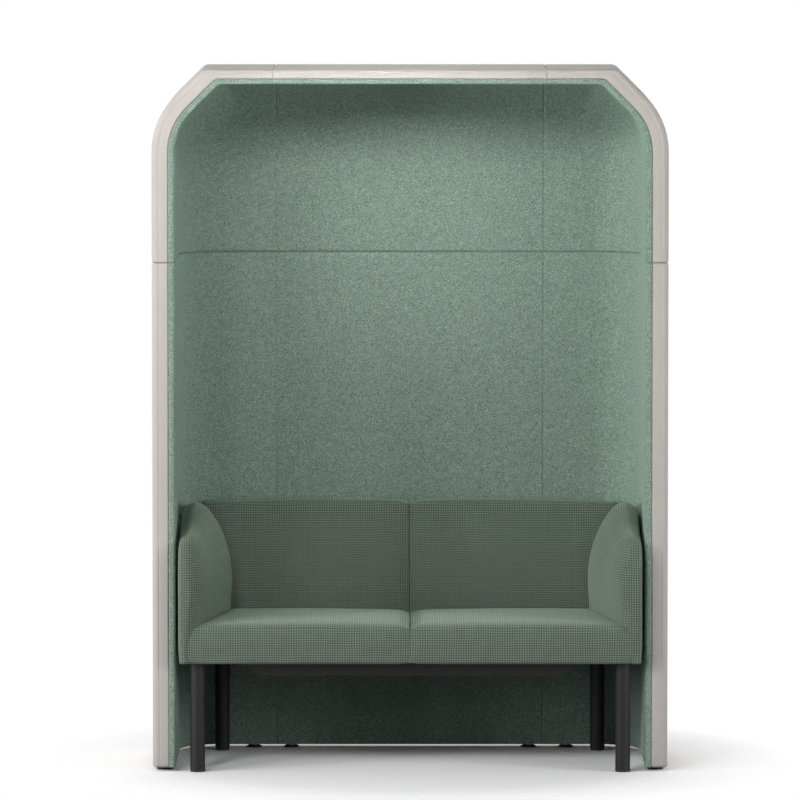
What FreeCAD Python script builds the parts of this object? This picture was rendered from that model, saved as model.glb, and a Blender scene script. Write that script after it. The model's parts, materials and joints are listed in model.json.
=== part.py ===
import FreeCAD, Part
import os
import re
import Sketcher
from FreeCAD import Rotation, Vector

# Acoustic booth bench: a high felt-lined wall with a hood, in six upholstered modules,
# and a two-seat sofa that stands inside it on four round legs.
# Frame: X to the right, Y to the back, Z up; the origin is on the floor, under the middle of the box.

doc = FreeCAD.newDocument("acoustic_booth_bench")

# Driving dimensions in millimetres and degrees
SIZES = {
    # Wall and hood
    "overall_width": 1530,
    "overall_height": 2088,
    "inner_depth": 580,
    "floor_gap": 11,
    "wall_thickness": 68,
    "outer_pad": 14,
    "lining_pad": 20,
    "roof_thickness": 44,
    "roof_outer_pad": 10,
    "roof_lining_pad": 16,
    "corner_radius": 145,
    "shoulder_radius": 237,
    "shoulder_angle": 45,
    "shoulder_width": 149,
    "seam_height": 1515,
    "centre_width": 810,
    "rim_round": 16,
    "lining_round": 8,
    "hem_round": 10,
    "edge_wrap": 6,
    "hem_wrap": 10,
    "joint_gap": 0.6,
    "round_limit": 0.95,
    # Dowels and bolts that join the modules
    "fit_gap": 0.1,
    "dowel_diameter": 10,
    "dowel_length": 70,
    "dowel_front_setback": 90,
    "dowel_rear_setback": 390,
    "dowel_joint_setback": 110,
    "joint_bolt_diameter": 8,
    "joint_bolt_length": 60,
    "bolt_low_height": 150,
    "bolt_mid_height": 760,
    "bolt_seam_setback": 115,
    "bolt_shoulder_drop": 40,
    "bolt_front_setback": 120,
    "bolt_rear_setback": 340,
    # Levelling feet of the wall
    "foot_diameter": 48,
    "foot_edge": 3,
    "foot_top_diameter": 28,
    "foot_setback": 70,
    "foot_outer_offset": 70,
    "foot_inner_offset": 44,
    "foot_stop_gap": 0.3,
    "stem_diameter": 8,
    "stem_length": 43,
    "stem_socket_floor": 3,
    "insert_diameter": 14,
    "insert_length": 40,
    "insert_flange_diameter": 26,
    "insert_flange": 2.5,
    # Sofa
    "sofa_side_gap": 11,
    "sofa_depth": 632,
    "sofa_overhang": 60,
    "sofa_corner_radius": 134,
    "sofa_corner_ease": 3,
    "seat_underside": 326,
    "seat_height": 450,
    "seat_depth": 493,
    "seat_round": 25,
    "seat_crown": 7,
    "seat_bulge": 5,
    "seat_end_drop": 6,
    "seat_seam_gap": 1,
    "roll_fullness": 1.1,
    "seam_round": 12,
    "back_height": 768,
    "back_rake": 66,
    "back_round": 28,
    "back_bulge": 20,
    "back_end_drop": 8,
    "back_arm_drop": 20,
    "arm_front_width": 28,
    "arm_rear_width": 160,
    "arm_front_crest": 25,
    "arm_rear_crest": 90,
    "arm_front_height": 600,
    "arm_rear_height": 764,
    "arm_widest_lift": 40,
    "arm_undercut": 8,
    "arm_front_round": 9,
    "arm_crest_rise": 0.3,
    "arm_face_fullness": 1.4,
    "arm_seat_inset": 14,
    "arm_back_inset": 78,
    "arm_flare": 0.55,
    "arm_rise": 0.26,
    # Sofa frame, boards and webbing
    "frame_inset": 12,
    "frame_lift": 6,
    "frame_height": 40,
    "frame_front_rail": 158,
    "frame_side_rail": 130,
    "frame_centre_rail": 80,
    "frame_rear_rail": 110,
    "board_gap": 0.3,
    "strap_width": 60,
    "strap_thickness": 2,
    "strap_pitch": 104,
    "strap_lap": 30,
    "dust_cover_thickness": 1,
    "dust_cover_inset": 4,
    "arm_board_thickness": 16,
    "arm_board_padding": 20,
    "arm_board_front": 55,
    "arm_board_length": 420,
    "arm_board_height": 280,
    "back_board_thickness": 16,
    "board_arm_gap": 21,
    "back_board_drop": 56,
    "rear_panel_thickness": 8,
    # Legs and under-seat beam
    "leg_diameter": 44,
    "leg_wall": 2,
    "leg_cap": 6,
    "front_leg_inset": 54,
    "front_leg_setback": 63,
    "rear_leg_inset": 116,
    "rear_leg_setback": 594,
    "glide_height": 5,
    "glide_plug_height": 18,
    "stud_diameter": 10,
    "stud_length": 38,
    "tee_nut_diameter": 14,
    "tee_nut_length": 22,
    "tee_nut_flange_diameter": 24,
    "tee_nut_flange": 1.5,
    "beam_top_length": 1030,
    "beam_bottom_length": 904,
    "beam_height": 48,
    "beam_width": 60,
    "beam_setback": 100,
    "beam_screw_diameter": 6,
    "beam_screw_length": 62,
    "beam_screw_spread": 640,
    "screw_head_diameter": 12,
    "screw_head_height": 4,
    # Ties between the sofa and the wall
    "tie_diameter": 40,
    "tie_bolt_diameter": 6,
    "tie_bolt_length": 64,
    "tie_bolt_bite": 14,
    "tie_spread": 520,
    "tie_height": 600,
}

sheet = doc.addObject("Spreadsheet::Sheet", "Sizes")
for row, (alias, amount) in enumerate(SIZES.items(), 1):
    sheet.set(f"A{row}", alias)
    sheet.set(f"B{row}", str(amount))
    sheet.setAlias(f"B{row}", alias)
doc.recompute()

# Places that follow from the driving dimensions
HALF_WIDTH = "(overall_width / 2)"
WALL_FRONT = "((sofa_overhang - inner_depth - wall_thickness) / 2)"
WALL_BACK = f"({WALL_FRONT} + inner_depth + wall_thickness)"
JOINT = "(centre_width / 2)"
SIDE_MIDDLE = f"({HALF_WIDTH} - wall_thickness / 2)"
BACK_MIDDLE = f"({WALL_BACK} - wall_thickness / 2)"
BACK_ROUND = "min(corner_radius, round_limit * (shoulder_radius - wall_thickness))"
ROOF_FLAT_HALF = f"({HALF_WIDTH} - shoulder_width)"
SHOULDER_Z = (
    "((shoulder_radius - shoulder_width) * tan(shoulder_angle)"
    " + overall_height - shoulder_radius / cos(shoulder_angle))"
)
ROOF_CORE_Z = "(overall_height - (roof_thickness + roof_outer_pad - roof_lining_pad) / 2)"
SOFA_WIDTH = "(overall_width - 2 * (wall_thickness + sofa_side_gap))"
SOFA_HALF = f"({SOFA_WIDTH} / 2)"
SOFA_FRONT = f"({WALL_FRONT} - sofa_overhang)"
SOFA_REAR = f"({SOFA_FRONT} + sofa_depth)"
SEAT_REAR = f"({SOFA_FRONT} + seat_depth)"
FRAME_BOTTOM = "(seat_underside + frame_lift)"
FRAME_TOP = f"({FRAME_BOTTOM} + frame_height)"
CAVITY_TOP = f"({FRAME_TOP} + strap_thickness + board_gap)"
PANEL_FRONT = f"({SOFA_REAR} - rear_panel_thickness)"
BOARD_FRONT = f"({PANEL_FRONT} - back_board_thickness)"
BOARD_TOP = "(back_height - back_board_drop)"

nodes = []


def ref(text):
    """The same expression with each size's name pointing to its cell."""
    return re.sub(r"[a-z_]+", lambda word: "Sizes." + word[0] if word[0] in SIZES else word[0], text)


def number(text):
    """What an expression of sizes comes to now."""
    return float(sheet.evalExpression(ref(text)))


def bind(item, links):
    """Ties properties of an object to expressions of sizes."""
    for path, text in links.items():
        item.setExpression(path, ref(text))
    return item


def node(item, label):
    """Names a finished sub-part, which is then written to its own file."""
    item.Label = label
    nodes.append(item)
    return item


def arc_between(start, end, radius, turn):
    """An arc of under a half circle from start to end, turning left for 1 and right for -1."""
    chord = end - start
    side = Vector(-chord.y, chord.x, 0).normalize() * turn
    middle = (start + end) * 0.5
    centre = middle + side * (radius ** 2 - chord.Length ** 2 / 4) ** 0.5
    crest = centre + (middle - centre).normalize() * radius
    circle = Part.Arc(start, crest, end)
    return circle if turn > 0 else Part.Arc(end, crest, start)


def draw(sketch, corners, arcs):
    """Closes an outline through corners; arcs gives the sides that are arcs: index to (radius, turn)."""
    spots = [Vector(number(across), number(up), 0) for across, up in corners]
    count = len(corners)
    first_end = [2 if side in arcs and arcs[side][1] < 0 else 1 for side in range(count)]
    for side, start in enumerate(spots):
        end = spots[(side + 1) % count]
        if side in arcs:
            radius, turn = arcs[side]
            sketch.addGeometry(arc_between(start, end, number(radius), turn), False)
        else:
            sketch.addGeometry(Part.LineSegment(start, end), False)
    for side in range(count):
        after = (side + 1) % count
        joined = Sketcher.Constraint("Coincident", side, 3 - first_end[side], after, first_end[after])
        sketch.addConstraint(joined)
    for side, place in enumerate(corners):
        for kind, text in zip(("DistanceX", "DistanceY"), place):
            distance = Sketcher.Constraint(kind, -1, 1, side, first_end[side], number(text))
            bind(sketch, {f"Constraints[{sketch.addConstraint(distance)}]": text})
    for side, (radius, turn) in arcs.items():
        size = Sketcher.Constraint("Radius", side, number(radius))
        bind(sketch, {f"Constraints[{sketch.addConstraint(size)}]": radius})


def sketched_body(name, plane, corners, arcs=None, lift="0"):
    """A body with one closed outline on an origin plane, lifted along the plane's normal."""
    body = doc.addObject("PartDesign::Body", name)
    sketch = body.newObject("Sketcher::SketchObject", name + "_outline")
    support = next(item for item in body.Origin.OriginFeatures if item.Role == plane)
    sketch.AttachmentSupport = [(support, "")]
    sketch.MapMode = "FlatFace"
    bind(sketch, {"AttachmentOffset.Base.z": lift})
    draw(sketch, corners, arcs or {})
    return body, sketch


def padded_body(name, plane, corners, arcs, low, high):
    """A body padded from low to high; on the XZ plane that is along Y, from front to back."""
    facing_front = plane == "XZ_Plane"
    lift = f"-({low})" if facing_front else low
    body, sketch = sketched_body(name, plane, corners, arcs, lift)
    pad = body.newObject("PartDesign::Pad", name + "_pad")
    pad.Profile = sketch
    pad.Reversed = facing_front
    bind(pad, {"Length": f"({high}) - ({low})"})
    return body, pad


def turned_body(name, corners, spot):
    """A body turned about the upright line through spot from a half profile."""
    body, sketch = sketched_body(name, "XZ_Plane", corners)
    turning = body.newObject("PartDesign::Revolution", name + "_turning")
    turning.Profile = sketch
    turning.ReferenceAxis = (sketch, ["V_Axis"])
    turning.Angle = 360
    return bind(body, {"Placement.Base.x": spot[0], "Placement.Base.y": spot[1]})


def round_edges(body, feature, name, radius, chosen):
    """Rounds the edges of a body's last feature that are chosen by their ends."""
    doc.recompute()
    edges = enumerate(feature.Shape.Edges, 1)
    picked = [f"Edge{index}" for index, edge in edges if chosen([spot.Point for spot in edge.Vertexes])]
    fillet = body.newObject("PartDesign::Fillet", name)
    fillet.Base = (feature, picked)
    bind(fillet, {"Radius": radius})
    return fillet


def rounded(name, base, radius, chosen):
    """A copy of a shape with the edges rounded that are chosen by their ends."""
    doc.recompute()
    item = doc.addObject("Part::Fillet", name)
    item.Base = base
    size = number(radius)
    edges = enumerate(base.Shape.Edges, 1)
    picked = [index for index, edge in edges if chosen([spot.Point for spot in edge.Vertexes])]
    item.Edges = [(index, size, size) for index in picked]
    return item


def box(name, across, along, up):
    """A block between two expressions along each axis."""
    item = doc.addObject("Part::Box", name)
    for size, axis, (low, high) in zip(("Length", "Width", "Height"), "xyz", (across, along, up)):
        bind(item, {size: f"({high}) - ({low})", f"Placement.Base.{axis}": low})
    return item


LYING = {"x": Rotation(Vector(0, 1, 0), 90), "y": Rotation(Vector(1, 0, 0), -90), "z": Rotation()}


def rod(name, diameter, length, start, axis="z"):
    """A round bar from start along an axis."""
    item = doc.addObject("Part::Cylinder", name)
    item.Placement.Rotation = LYING[axis]
    bind(item, {"Radius": f"({diameter}) / 2", "Height": length})
    bind(item, {f"Placement.Base.{letter}": text for letter, text in zip("xyz", start)})
    return item


def boolean(kind, name, base, tool):
    item = doc.addObject(kind, name)
    item.Base = base
    item.Tool = tool
    return item


def cut(name, base, tool):
    return boolean("Part::Cut", name, base, tool)


def common(name, base, tool):
    return boolean("Part::Common", name, base, tool)


def group(name, items):
    """Separate solids in one object."""
    item = doc.addObject("Part::Compound", name)
    item.Links = items
    return item


def mirrored(name, source):
    """The right-hand twin of a left-hand piece."""
    item = doc.addObject("Part::Mirroring", name)
    item.Source = source
    item.Normal = Vector(1, 0, 0)
    return item


TOUCHING = 1e-4
SAME_SPOT = 0.01


def near(value, target):
    return abs(value - target) < TOUCHING


# Forms of the wall: each is the whole booth's outline, set in by a layer and rounded at the back
def wall_form(name, inset, roof_inset, front):
    half = f"({HALF_WIDTH} - {inset})"
    top = f"(overall_height - {roof_inset})"
    radius = f"(shoulder_radius - {inset})"
    flat_shift = f"({roof_inset} * cos(shoulder_angle) - {inset}) / sin(shoulder_angle)"
    flat_end = f"({ROOF_FLAT_HALF} + {flat_shift})"
    bend_x = f"({HALF_WIDTH} - shoulder_radius + {radius} * sin(shoulder_angle))"
    bend_z = f"({SHOULDER_Z} + {radius} * cos(shoulder_angle))"
    right = [(half, "floor_gap"), (half, SHOULDER_Z), (bend_x, bend_z), (flat_end, top)]
    left = [(f"-{across}", up) for across, up in reversed(right)]
    body, pad = padded_body(
        name, "XZ_Plane", right + left, {1: (radius, 1), 5: (radius, 1)}, front, f"{WALL_BACK} - {inset}"
    )
    back = number(f"{WALL_BACK} - {inset}")
    hem = number("floor_gap")
    return body, round_edges(
        body, pad, name + "_back_round", f"{BACK_ROUND} + wall_thickness - {inset}",
        lambda ends: all(near(end.y, back) for end in ends) and not all(near(end.z, hem) for end in ends),
    )


LINING_INSET = "(wall_thickness - lining_pad)"
ROOF_LINING_INSET = "(roof_thickness - roof_lining_pad)"
outer_form, outer_last = wall_form("outer_form", "0", "0", WALL_FRONT)
core_form = wall_form("core_form", "outer_pad", "roof_outer_pad", f"({WALL_FRONT} + outer_pad)")[0]
lining_form = wall_form("lining_form", LINING_INSET, ROOF_LINING_INSET, WALL_FRONT)[0]
cabin_form = wall_form("cabin_form", "wall_thickness", "roof_thickness", WALL_FRONT)[0]

front_y = number(WALL_FRONT)
hem_z = number("floor_gap")
rim_rounded = round_edges(
    outer_form, outer_last, "rim_rounding", "rim_round",
    lambda ends: all(near(end.y, front_y) for end in ends) and not all(near(end.z, hem_z) for end in ends),
)
round_edges(
    outer_form, rim_rounded, "hem_rounding", "hem_round",
    lambda ends: all(near(end.z, hem_z) for end in ends) and not all(near(end.y, front_y) for end in ends),
)

cover_ring = cut("cover_ring", outer_form, lining_form)
core_ring = cut("core_ring", core_form, lining_form)
square_lining = cut("square_lining", lining_form, cabin_form)
doc.recompute()

# The lining's inner front edge is rounded where it meets the cabin
cabin_edges = [edge.CenterOfMass for edge in cabin_form.Shape.Edges]
lining_ring = doc.addObject("Part::Fillet", "lining_ring")
lining_ring.Base = square_lining
lining_ring.Edges = [
    (index, number("lining_round"), number("lining_round"))
    for index, edge in enumerate(square_lining.Shape.Edges, 1)
    if all(near(spot.Y, front_y) for spot in edge.Vertexes)
    and any((edge.CenterOfMass - middle).Length < SAME_SPOT for middle in cabin_edges)
]

# Dowels stand across the level seam, bolts lie across the upright joints
dowel_spots = [
    (SIDE_MIDDLE, f"{WALL_FRONT} + dowel_front_setback"),
    (SIDE_MIDDLE, f"{WALL_FRONT} + dowel_rear_setback"),
    (f"({JOINT} + dowel_joint_setback)", BACK_MIDDLE),
    (f"({JOINT} - dowel_joint_setback)", BACK_MIDDLE),
]
bolt_spots = [
    (BACK_MIDDLE, "bolt_low_height"),
    (BACK_MIDDLE, "bolt_mid_height"),
    (BACK_MIDDLE, "seam_height - bolt_seam_setback"),
    (BACK_MIDDLE, "seam_height + bolt_seam_setback"),
    (BACK_MIDDLE, f"{SHOULDER_Z} - bolt_shoulder_drop"),
    (f"{WALL_FRONT} + bolt_front_setback", ROOF_CORE_Z),
    (f"{WALL_FRONT} + bolt_rear_setback", ROOF_CORE_Z),
]
SIDES = {"left": "-", "right": ""}


def dowels(name, ease):
    """Upright pins at the level seam, or their holes with some ease."""
    base = "seam_height - dowel_length / 2"
    return group(name, [
        rod(
            f"{name}_{side}_{index}", f"dowel_diameter + {ease}", "dowel_length",
            (sign + across, along, base),
        )
        for side, sign in SIDES.items()
        for index, (across, along) in enumerate(dowel_spots)
    ])


def joint_bolts(name, ease):
    """Level bolts through the upright joints, or their holes with some ease."""
    return group(name, [
        rod(
            f"{name}_{side}_{index}", f"joint_bolt_diameter + {ease}", "joint_bolt_length",
            (f"{sign}{JOINT} - joint_bolt_length / 2", along, up), "x",
        )
        for side, sign in SIDES.items()
        for index, (along, up) in enumerate(bolt_spots)
    ])


node(dowels("seam_dowels", "0"), "seam_dowels")
node(joint_bolts("joint_bolts", "0"), "joint_bolts")

# Levelling feet: a disc on a threaded stem that screws into an insert in the wall's core
foot_spots = {
    "front": (SIDE_MIDDLE, f"{WALL_FRONT} + foot_setback"),
    "back_outer": (f"({JOINT} + foot_outer_offset)", BACK_MIDDLE),
    "back_inner": (f"({JOINT} - foot_inner_offset)", BACK_MIDDLE),
}
FLANGE_BOTTOM = "(floor_gap - insert_flange)"
foot_profile = [
    ("0", "0"), ("foot_diameter / 2", "0"), ("foot_diameter / 2", "foot_edge"),
    ("foot_top_diameter / 2", f"{FLANGE_BOTTOM} - foot_stop_gap"),
    ("stem_diameter / 2", f"{FLANGE_BOTTOM} - foot_stop_gap"),
    ("stem_diameter / 2", "stem_socket_floor"), ("0", "stem_socket_floor"),
]
insert_profile = [
    ("stem_diameter / 2 + fit_gap", FLANGE_BOTTOM), ("insert_flange_diameter / 2", FLANGE_BOTTOM),
    ("insert_flange_diameter / 2", "floor_gap"), ("insert_diameter / 2", "floor_gap"),
    ("insert_diameter / 2", "floor_gap + insert_length"),
    ("stem_diameter / 2 + fit_gap", "floor_gap + insert_length"),
]
inserts = []
insert_holes = []
for side, sign in SIDES.items():
    for place, (across, along) in foot_spots.items():
        tag = f"{place}_{side}"
        spot = (sign + across, along)
        node(turned_body(f"foot_disc_{tag}", foot_profile, spot), f"foot_disc_{tag}")
        stem = rod(f"foot_stem_{tag}", "stem_diameter", "stem_length", spot + ("stem_socket_floor",))
        node(stem, f"foot_stem_{tag}")
        inserts.append(turned_body(f"insert_{tag}", insert_profile, spot))
        insert_holes.append(
            rod(f"insert_hole_{tag}", "insert_diameter", "insert_length", spot + ("floor_gap",))
        )
node(group("foot_inserts", inserts), "foot_inserts")

# Ties: a spacer disc and a bolt on each side hold the sofa's back board to the wall's core
tie_front = f"({BOARD_FRONT} + back_board_thickness - tie_bolt_bite)"
tie_spots = {side: f"{sign}tie_spread / 2" for side, sign in SIDES.items()}


def tie_bolts(name, ease):
    """Level bolts through the back board into the wall, or their holes with some ease."""
    return group(name, [
        rod(
            f"{name}_{side}", f"tie_bolt_diameter + {ease}", "tie_bolt_length",
            (across, tie_front, "tie_height"), "y",
        )
        for side, across in tie_spots.items()
    ])


tie_holes = tie_bolts("tie_holes", "2 * fit_gap")
node(tie_bolts("tie_bolts", "0"), "tie_bolts")
tie_discs = group("tie_discs", [
    rod(
        f"tie_disc_{side}", "tie_diameter", f"{WALL_FRONT} + inner_depth - {SOFA_REAR}",
        (across, SOFA_REAR, "tie_height"), "y",
    )
    for side, across in tie_spots.items()
])
node(cut("tie_spacers", tie_discs, tie_holes), "tie_spacers")

# Wall modules: outer cover, core and lining of each; the right ones mirror the left ones
hardware_holes = group("hardware_holes", [
    dowels("dowel_holes", "2 * fit_gap"), joint_bolts("joint_bolt_holes", "2 * fit_gap"), tie_holes,
    group("all_insert_holes", insert_holes),
])
OUTSIDE = "wall_thickness"
DEPTH_SPAN = (f"{WALL_FRONT} - {OUTSIDE}", f"{WALL_BACK} + {OUTSIDE}")


def module_box(name, column, level, wrap, hem):
    """The space of one module, set back by a wrap at each joint and a hem at the floor."""
    inset = f"(joint_gap / 2 + {wrap})"
    across = {
        "left": (f"-({HALF_WIDTH} + {OUTSIDE})", f"-({JOINT} + {inset})"),
        "centre": (f"-({JOINT} - {inset})", f"({JOINT} - {inset})"),
    }
    up = {
        "lower": (f"floor_gap + {hem}", f"seam_height - {inset}"),
        "hood": (f"seam_height + {inset}", f"overall_height + {OUTSIDE}"),
    }
    return box(name, across[column], DEPTH_SPAN, up[level])


for level in ("lower", "hood"):
    for column in ("left", "centre"):
        tag = f"{level}_{column}"
        space = module_box(f"{tag}_space", column, level, "0", "0")
        core_space = module_box(f"{tag}_core_space", column, level, "edge_wrap", "hem_wrap")
        core_blank = common(f"{tag}_core_blank", core_ring, core_space)
        cover_blank = common(f"{tag}_cover_blank", cover_ring, space)
        cover_shell = cut(f"{tag}_cover_shell", cover_blank, core_blank)
        pieces = {
            "cover": cut(f"{tag}_cover", cover_shell, hardware_holes),
            "core": cut(f"{tag}_core", core_blank, hardware_holes),
            "lining": cut(f"{tag}_lining", common(f"{tag}_lining_blank", lining_ring, space), tie_holes),
        }
        for layer, piece in pieces.items():
            node(piece, f"{tag}_{layer}")
            if column == "left":
                node(mirrored(f"{level}_right_{layer}", piece), f"{level}_right_{layer}")


# Sofa: everything keeps inside a plan with rounded rear corners
def sofa_plan(name, inset, low, high):
    half = f"({SOFA_HALF} - {inset})"
    front = f"({SOFA_FRONT} + {inset})"
    rear = f"({SOFA_REAR} - {inset})"
    radius = f"(sofa_corner_radius - {inset})"
    corners = [
        (f"-{half}", front), (half, front), (half, f"{rear} - {radius}"), (f"{half} - {radius}", rear),
        (f"-{half} + {radius}", rear), (f"-{half}", f"{rear} - {radius}"),
    ]
    return padded_body(name, "XY_Plane", corners, {2: (radius, 1), 4: (radius, 1)}, low, high)[0]


ABOVE = f"back_height + {OUTSIDE}"
BELOW = f"seat_underside - {OUTSIDE}"
sofa_bounds = sofa_plan("sofa_bounds", "(0 - sofa_corner_ease)", BELOW, ABOVE)
frame_cavity = sofa_plan("frame_cavity", "(frame_inset - board_gap)", BELOW, CAVITY_TOP)


def section(name, turn, axis, place, corners, arcs):
    """A closed outline across an axis, for a loft along it."""
    sketch = doc.addObject("Sketcher::SketchObject", name)
    sketch.Placement.Rotation = turn
    bind(sketch, {f"Placement.Base.{axis}": place})
    draw(sketch, corners, arcs)
    return sketch


def loft(name, sections):
    item = doc.addObject("Part::Loft", name)
    item.Sections = sections
    item.Solid = True
    return item


ACROSS_Y = Rotation(Vector(1, 0, 0), 90)
ACROSS_X = Rotation(Vector(1, 1, 1), 120)
ARM_STATIONS = (0, 0.06, 0.16, 0.45, 0.78, 1)


def sagitta_radius(chord, rise):
    """The radius of an arc from its chord and its rise over the chord."""
    return f"((({chord}) ^ 2 / 4 + ({rise}) ^ 2) / (2 * ({rise})))"


# Arms: thin at the front, thick at the back, with a crest that rises backwards
def arm_section(share):
    flare = f"{share} ^ arm_flare"
    width = f"(arm_front_width + (arm_rear_width - arm_front_width) * {flare})"
    crest = f"(arm_front_crest + (arm_rear_crest - arm_front_crest) * {flare})"
    height = f"(arm_front_height + (arm_rear_height - arm_front_height) * {share} ^ arm_rise)"
    shoulder = f"({height} - arm_crest_rise * {crest})"
    widest = "(seat_height + arm_widest_lift)"
    corners = [
        (f"-{SOFA_HALF}", "seat_underside"), (f"-{SOFA_HALF}", shoulder),
        (f"-{SOFA_HALF} + {crest}", shoulder), (f"-{SOFA_HALF} + {width}", widest),
        (f"-{SOFA_HALF} + {width} - arm_undercut", "seat_underside"),
    ]
    crest_radius = sagitta_radius(crest, f"arm_crest_rise * {crest}")
    face_radius = f"arm_face_fullness * sqrt(({width} - {crest}) ^ 2 + ({shoulder} - {widest}) ^ 2)"
    station = f"{SOFA_FRONT} + {share} * sofa_depth"
    name = f"arm_section_{round(share * 100)}"
    return section(name, ACROSS_Y, "y", station, corners, {1: (crest_radius, -1), 2: (face_radius, -1)})


arm_loft = loft("arm_loft", [arm_section(share) for share in ARM_STATIONS])
sofa_front_y = number(SOFA_FRONT)
arm_side_x = number(f"-{SOFA_HALF}")
arm_rounded = rounded(
    "arm_rounded", arm_loft, "arm_front_round",
    lambda ends: all(near(end.y, sofa_front_y) and near(end.x, arm_side_x) for end in ends),
)
arm_form = common("arm_form", arm_rounded, sofa_bounds)
arm_board_x = (
    f"-{SOFA_HALF} + arm_board_padding",
    f"-{SOFA_HALF} + arm_board_padding + arm_board_thickness",
)
arm_board_y = (f"{SOFA_FRONT} + arm_board_front", f"{SOFA_FRONT} + arm_board_front + arm_board_length")
arm_board = box("arm_board_left", arm_board_x, arm_board_y, (FRAME_TOP, f"{FRAME_TOP} + arm_board_height"))
arm_slot = box(
    "arm_slot",
    (f"{arm_board_x[0]} - board_gap", f"{arm_board_x[1]} + board_gap"),
    (f"{arm_board_y[0]} - board_gap", f"{arm_board_y[1]} + board_gap"),
    (FRAME_TOP, f"{FRAME_TOP} + arm_board_height + board_gap"),
)
arm_hollow = cut("arm_hollow", arm_form, frame_cavity)
arm = cut("arm_left", arm_hollow, arm_slot)


# Seat cushions: crowned on top, bulging at the front, lower towards both ends
def seat_section(name, across, drop):
    face = f"({SOFA_FRONT} + seat_bulge + {drop} / 2)"
    top = f"(seat_height - seat_crown - {drop})"
    corners = [
        (face, "seat_underside"), (face, f"{top} - seat_round"), (f"{face} + seat_round", top),
        (SEAT_REAR, top), (SEAT_REAR, "seat_underside"),
    ]
    arcs = {
        0: (sagitta_radius(f"{top} - seat_round - seat_underside", "seat_bulge"), -1),
        1: ("roll_fullness * seat_round", -1),
        2: (sagitta_radius(f"{SEAT_REAR} - {face} - seat_round", "seat_crown"), -1),
    }
    return section(name, ACROSS_X, "x", across, corners, arcs)


# Back cushions: lean back, bulge forward and roll over the top of the back board
def back_section(name, across, drop):
    foot = f"({SEAT_REAR} + board_gap)"
    top = f"(back_height - {drop})"
    shoulder = f"({top} - back_round)"
    brow = f"({foot} + back_rake)"
    corners = [
        (foot, "seat_underside"), (foot, "seat_height - seat_crown"), (brow, shoulder),
        (f"{brow} + back_round", top), (f"{SOFA_REAR} - back_round / 2", top),
        (SOFA_REAR, f"{top} - back_round / 2"), (SOFA_REAR, BOARD_TOP),
        (f"{BOARD_FRONT} - board_gap", BOARD_TOP), (f"{BOARD_FRONT} - board_gap", "seat_underside"),
    ]
    lean = f"sqrt(back_rake ^ 2 + ({shoulder} - seat_height + seat_crown) ^ 2)"
    arcs = {
        1: (sagitta_radius(lean, "back_bulge"), -1),
        2: ("roll_fullness * back_round", -1),
        4: ("roll_fullness * back_round / 2", -1),
    }
    return section(name, ACROSS_X, "x", across, corners, arcs)


def cushion(kind, make_section, outer_inset, arm_drop, seam_drop, rounded_from):
    """One half of the seat or back, lofted from the arm to the middle seam and cut round the arm."""
    seam = "-seat_seam_gap / 2"
    sections = [
        make_section(f"{kind}_arm_end", f"-{SOFA_HALF} + {outer_inset}", arm_drop),
        make_section(f"{kind}_middle", f"-{SOFA_HALF} / 2", "0"),
        make_section(f"{kind}_seam_end", seam, seam_drop),
    ]
    blank = loft(f"{kind}_loft", sections)
    seam_x = number(seam)
    low = number(rounded_from)
    soft_end = rounded(
        f"{kind}_soft_end", blank, "seam_round",
        lambda ends: all(near(end.x, seam_x) for end in ends) and max(end.z for end in ends) > low
        and min(end.y for end in ends) < number(SOFA_REAR) - number("back_round"),
    )
    in_plan = common(f"{kind}_in_plan", soft_end, sofa_bounds)
    beside_arm = cut(f"{kind}_beside_arm", in_plan, arm_form)
    return cut(f"{kind}_cushion_left", beside_arm, frame_cavity)


MID_SEAT = "(seat_underside + seat_height) / 2"
seat = cushion("seat", seat_section, "arm_seat_inset", "seat_end_drop", "seat_end_drop", MID_SEAT)
back = cushion("back", back_section, "arm_back_inset", "back_arm_drop", "back_end_drop", "seat_height")
paired = {"arm_pad": arm, "arm_board": arm_board, "seat_cushion": seat, "back_cushion": back}
for name, piece in paired.items():
    node(piece, f"{name}_left")
    node(mirrored(f"{name}_right", piece), f"{name}_right")

# Legs: capped tubes on push-in glides, each with a stud up into a tee nut in the seat frame
leg_spots = {
    f"{row}_{side}": (f"{sign}({SOFA_HALF} - {row}_leg_inset)", f"{SOFA_FRONT} + {row}_leg_setback")
    for row in ("front", "rear")
    for side, sign in SIDES.items()
}
bore = "(leg_diameter / 2 - leg_wall)"
leg_profile = [
    ("stud_diameter / 2", FRAME_BOTTOM), ("stud_diameter / 2", f"{FRAME_BOTTOM} - leg_cap"),
    (bore, f"{FRAME_BOTTOM} - leg_cap"), (bore, "glide_height"), ("leg_diameter / 2", "glide_height"),
    ("leg_diameter / 2", FRAME_BOTTOM),
]
glide_profile = [
    ("0", "0"), ("leg_diameter / 2 - leg_wall / 2", "0"), ("leg_diameter / 2", "leg_wall / 2"),
    ("leg_diameter / 2", "glide_height"), (bore, "glide_height"), (bore, "glide_plug_height"),
    ("0", "glide_plug_height"),
]
nut_bottom = f"({FRAME_TOP} - tee_nut_length)"
nut_profile = [
    ("stud_diameter / 2", nut_bottom), ("tee_nut_diameter / 2", nut_bottom),
    ("tee_nut_diameter / 2", FRAME_TOP), ("tee_nut_flange_diameter / 2", FRAME_TOP),
    ("tee_nut_flange_diameter / 2", f"{FRAME_TOP} + tee_nut_flange"),
    ("stud_diameter / 2", f"{FRAME_TOP} + tee_nut_flange"),
]
glides = []
studs = []
nuts = []
frame_holes = []
leg_clearances = []
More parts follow.
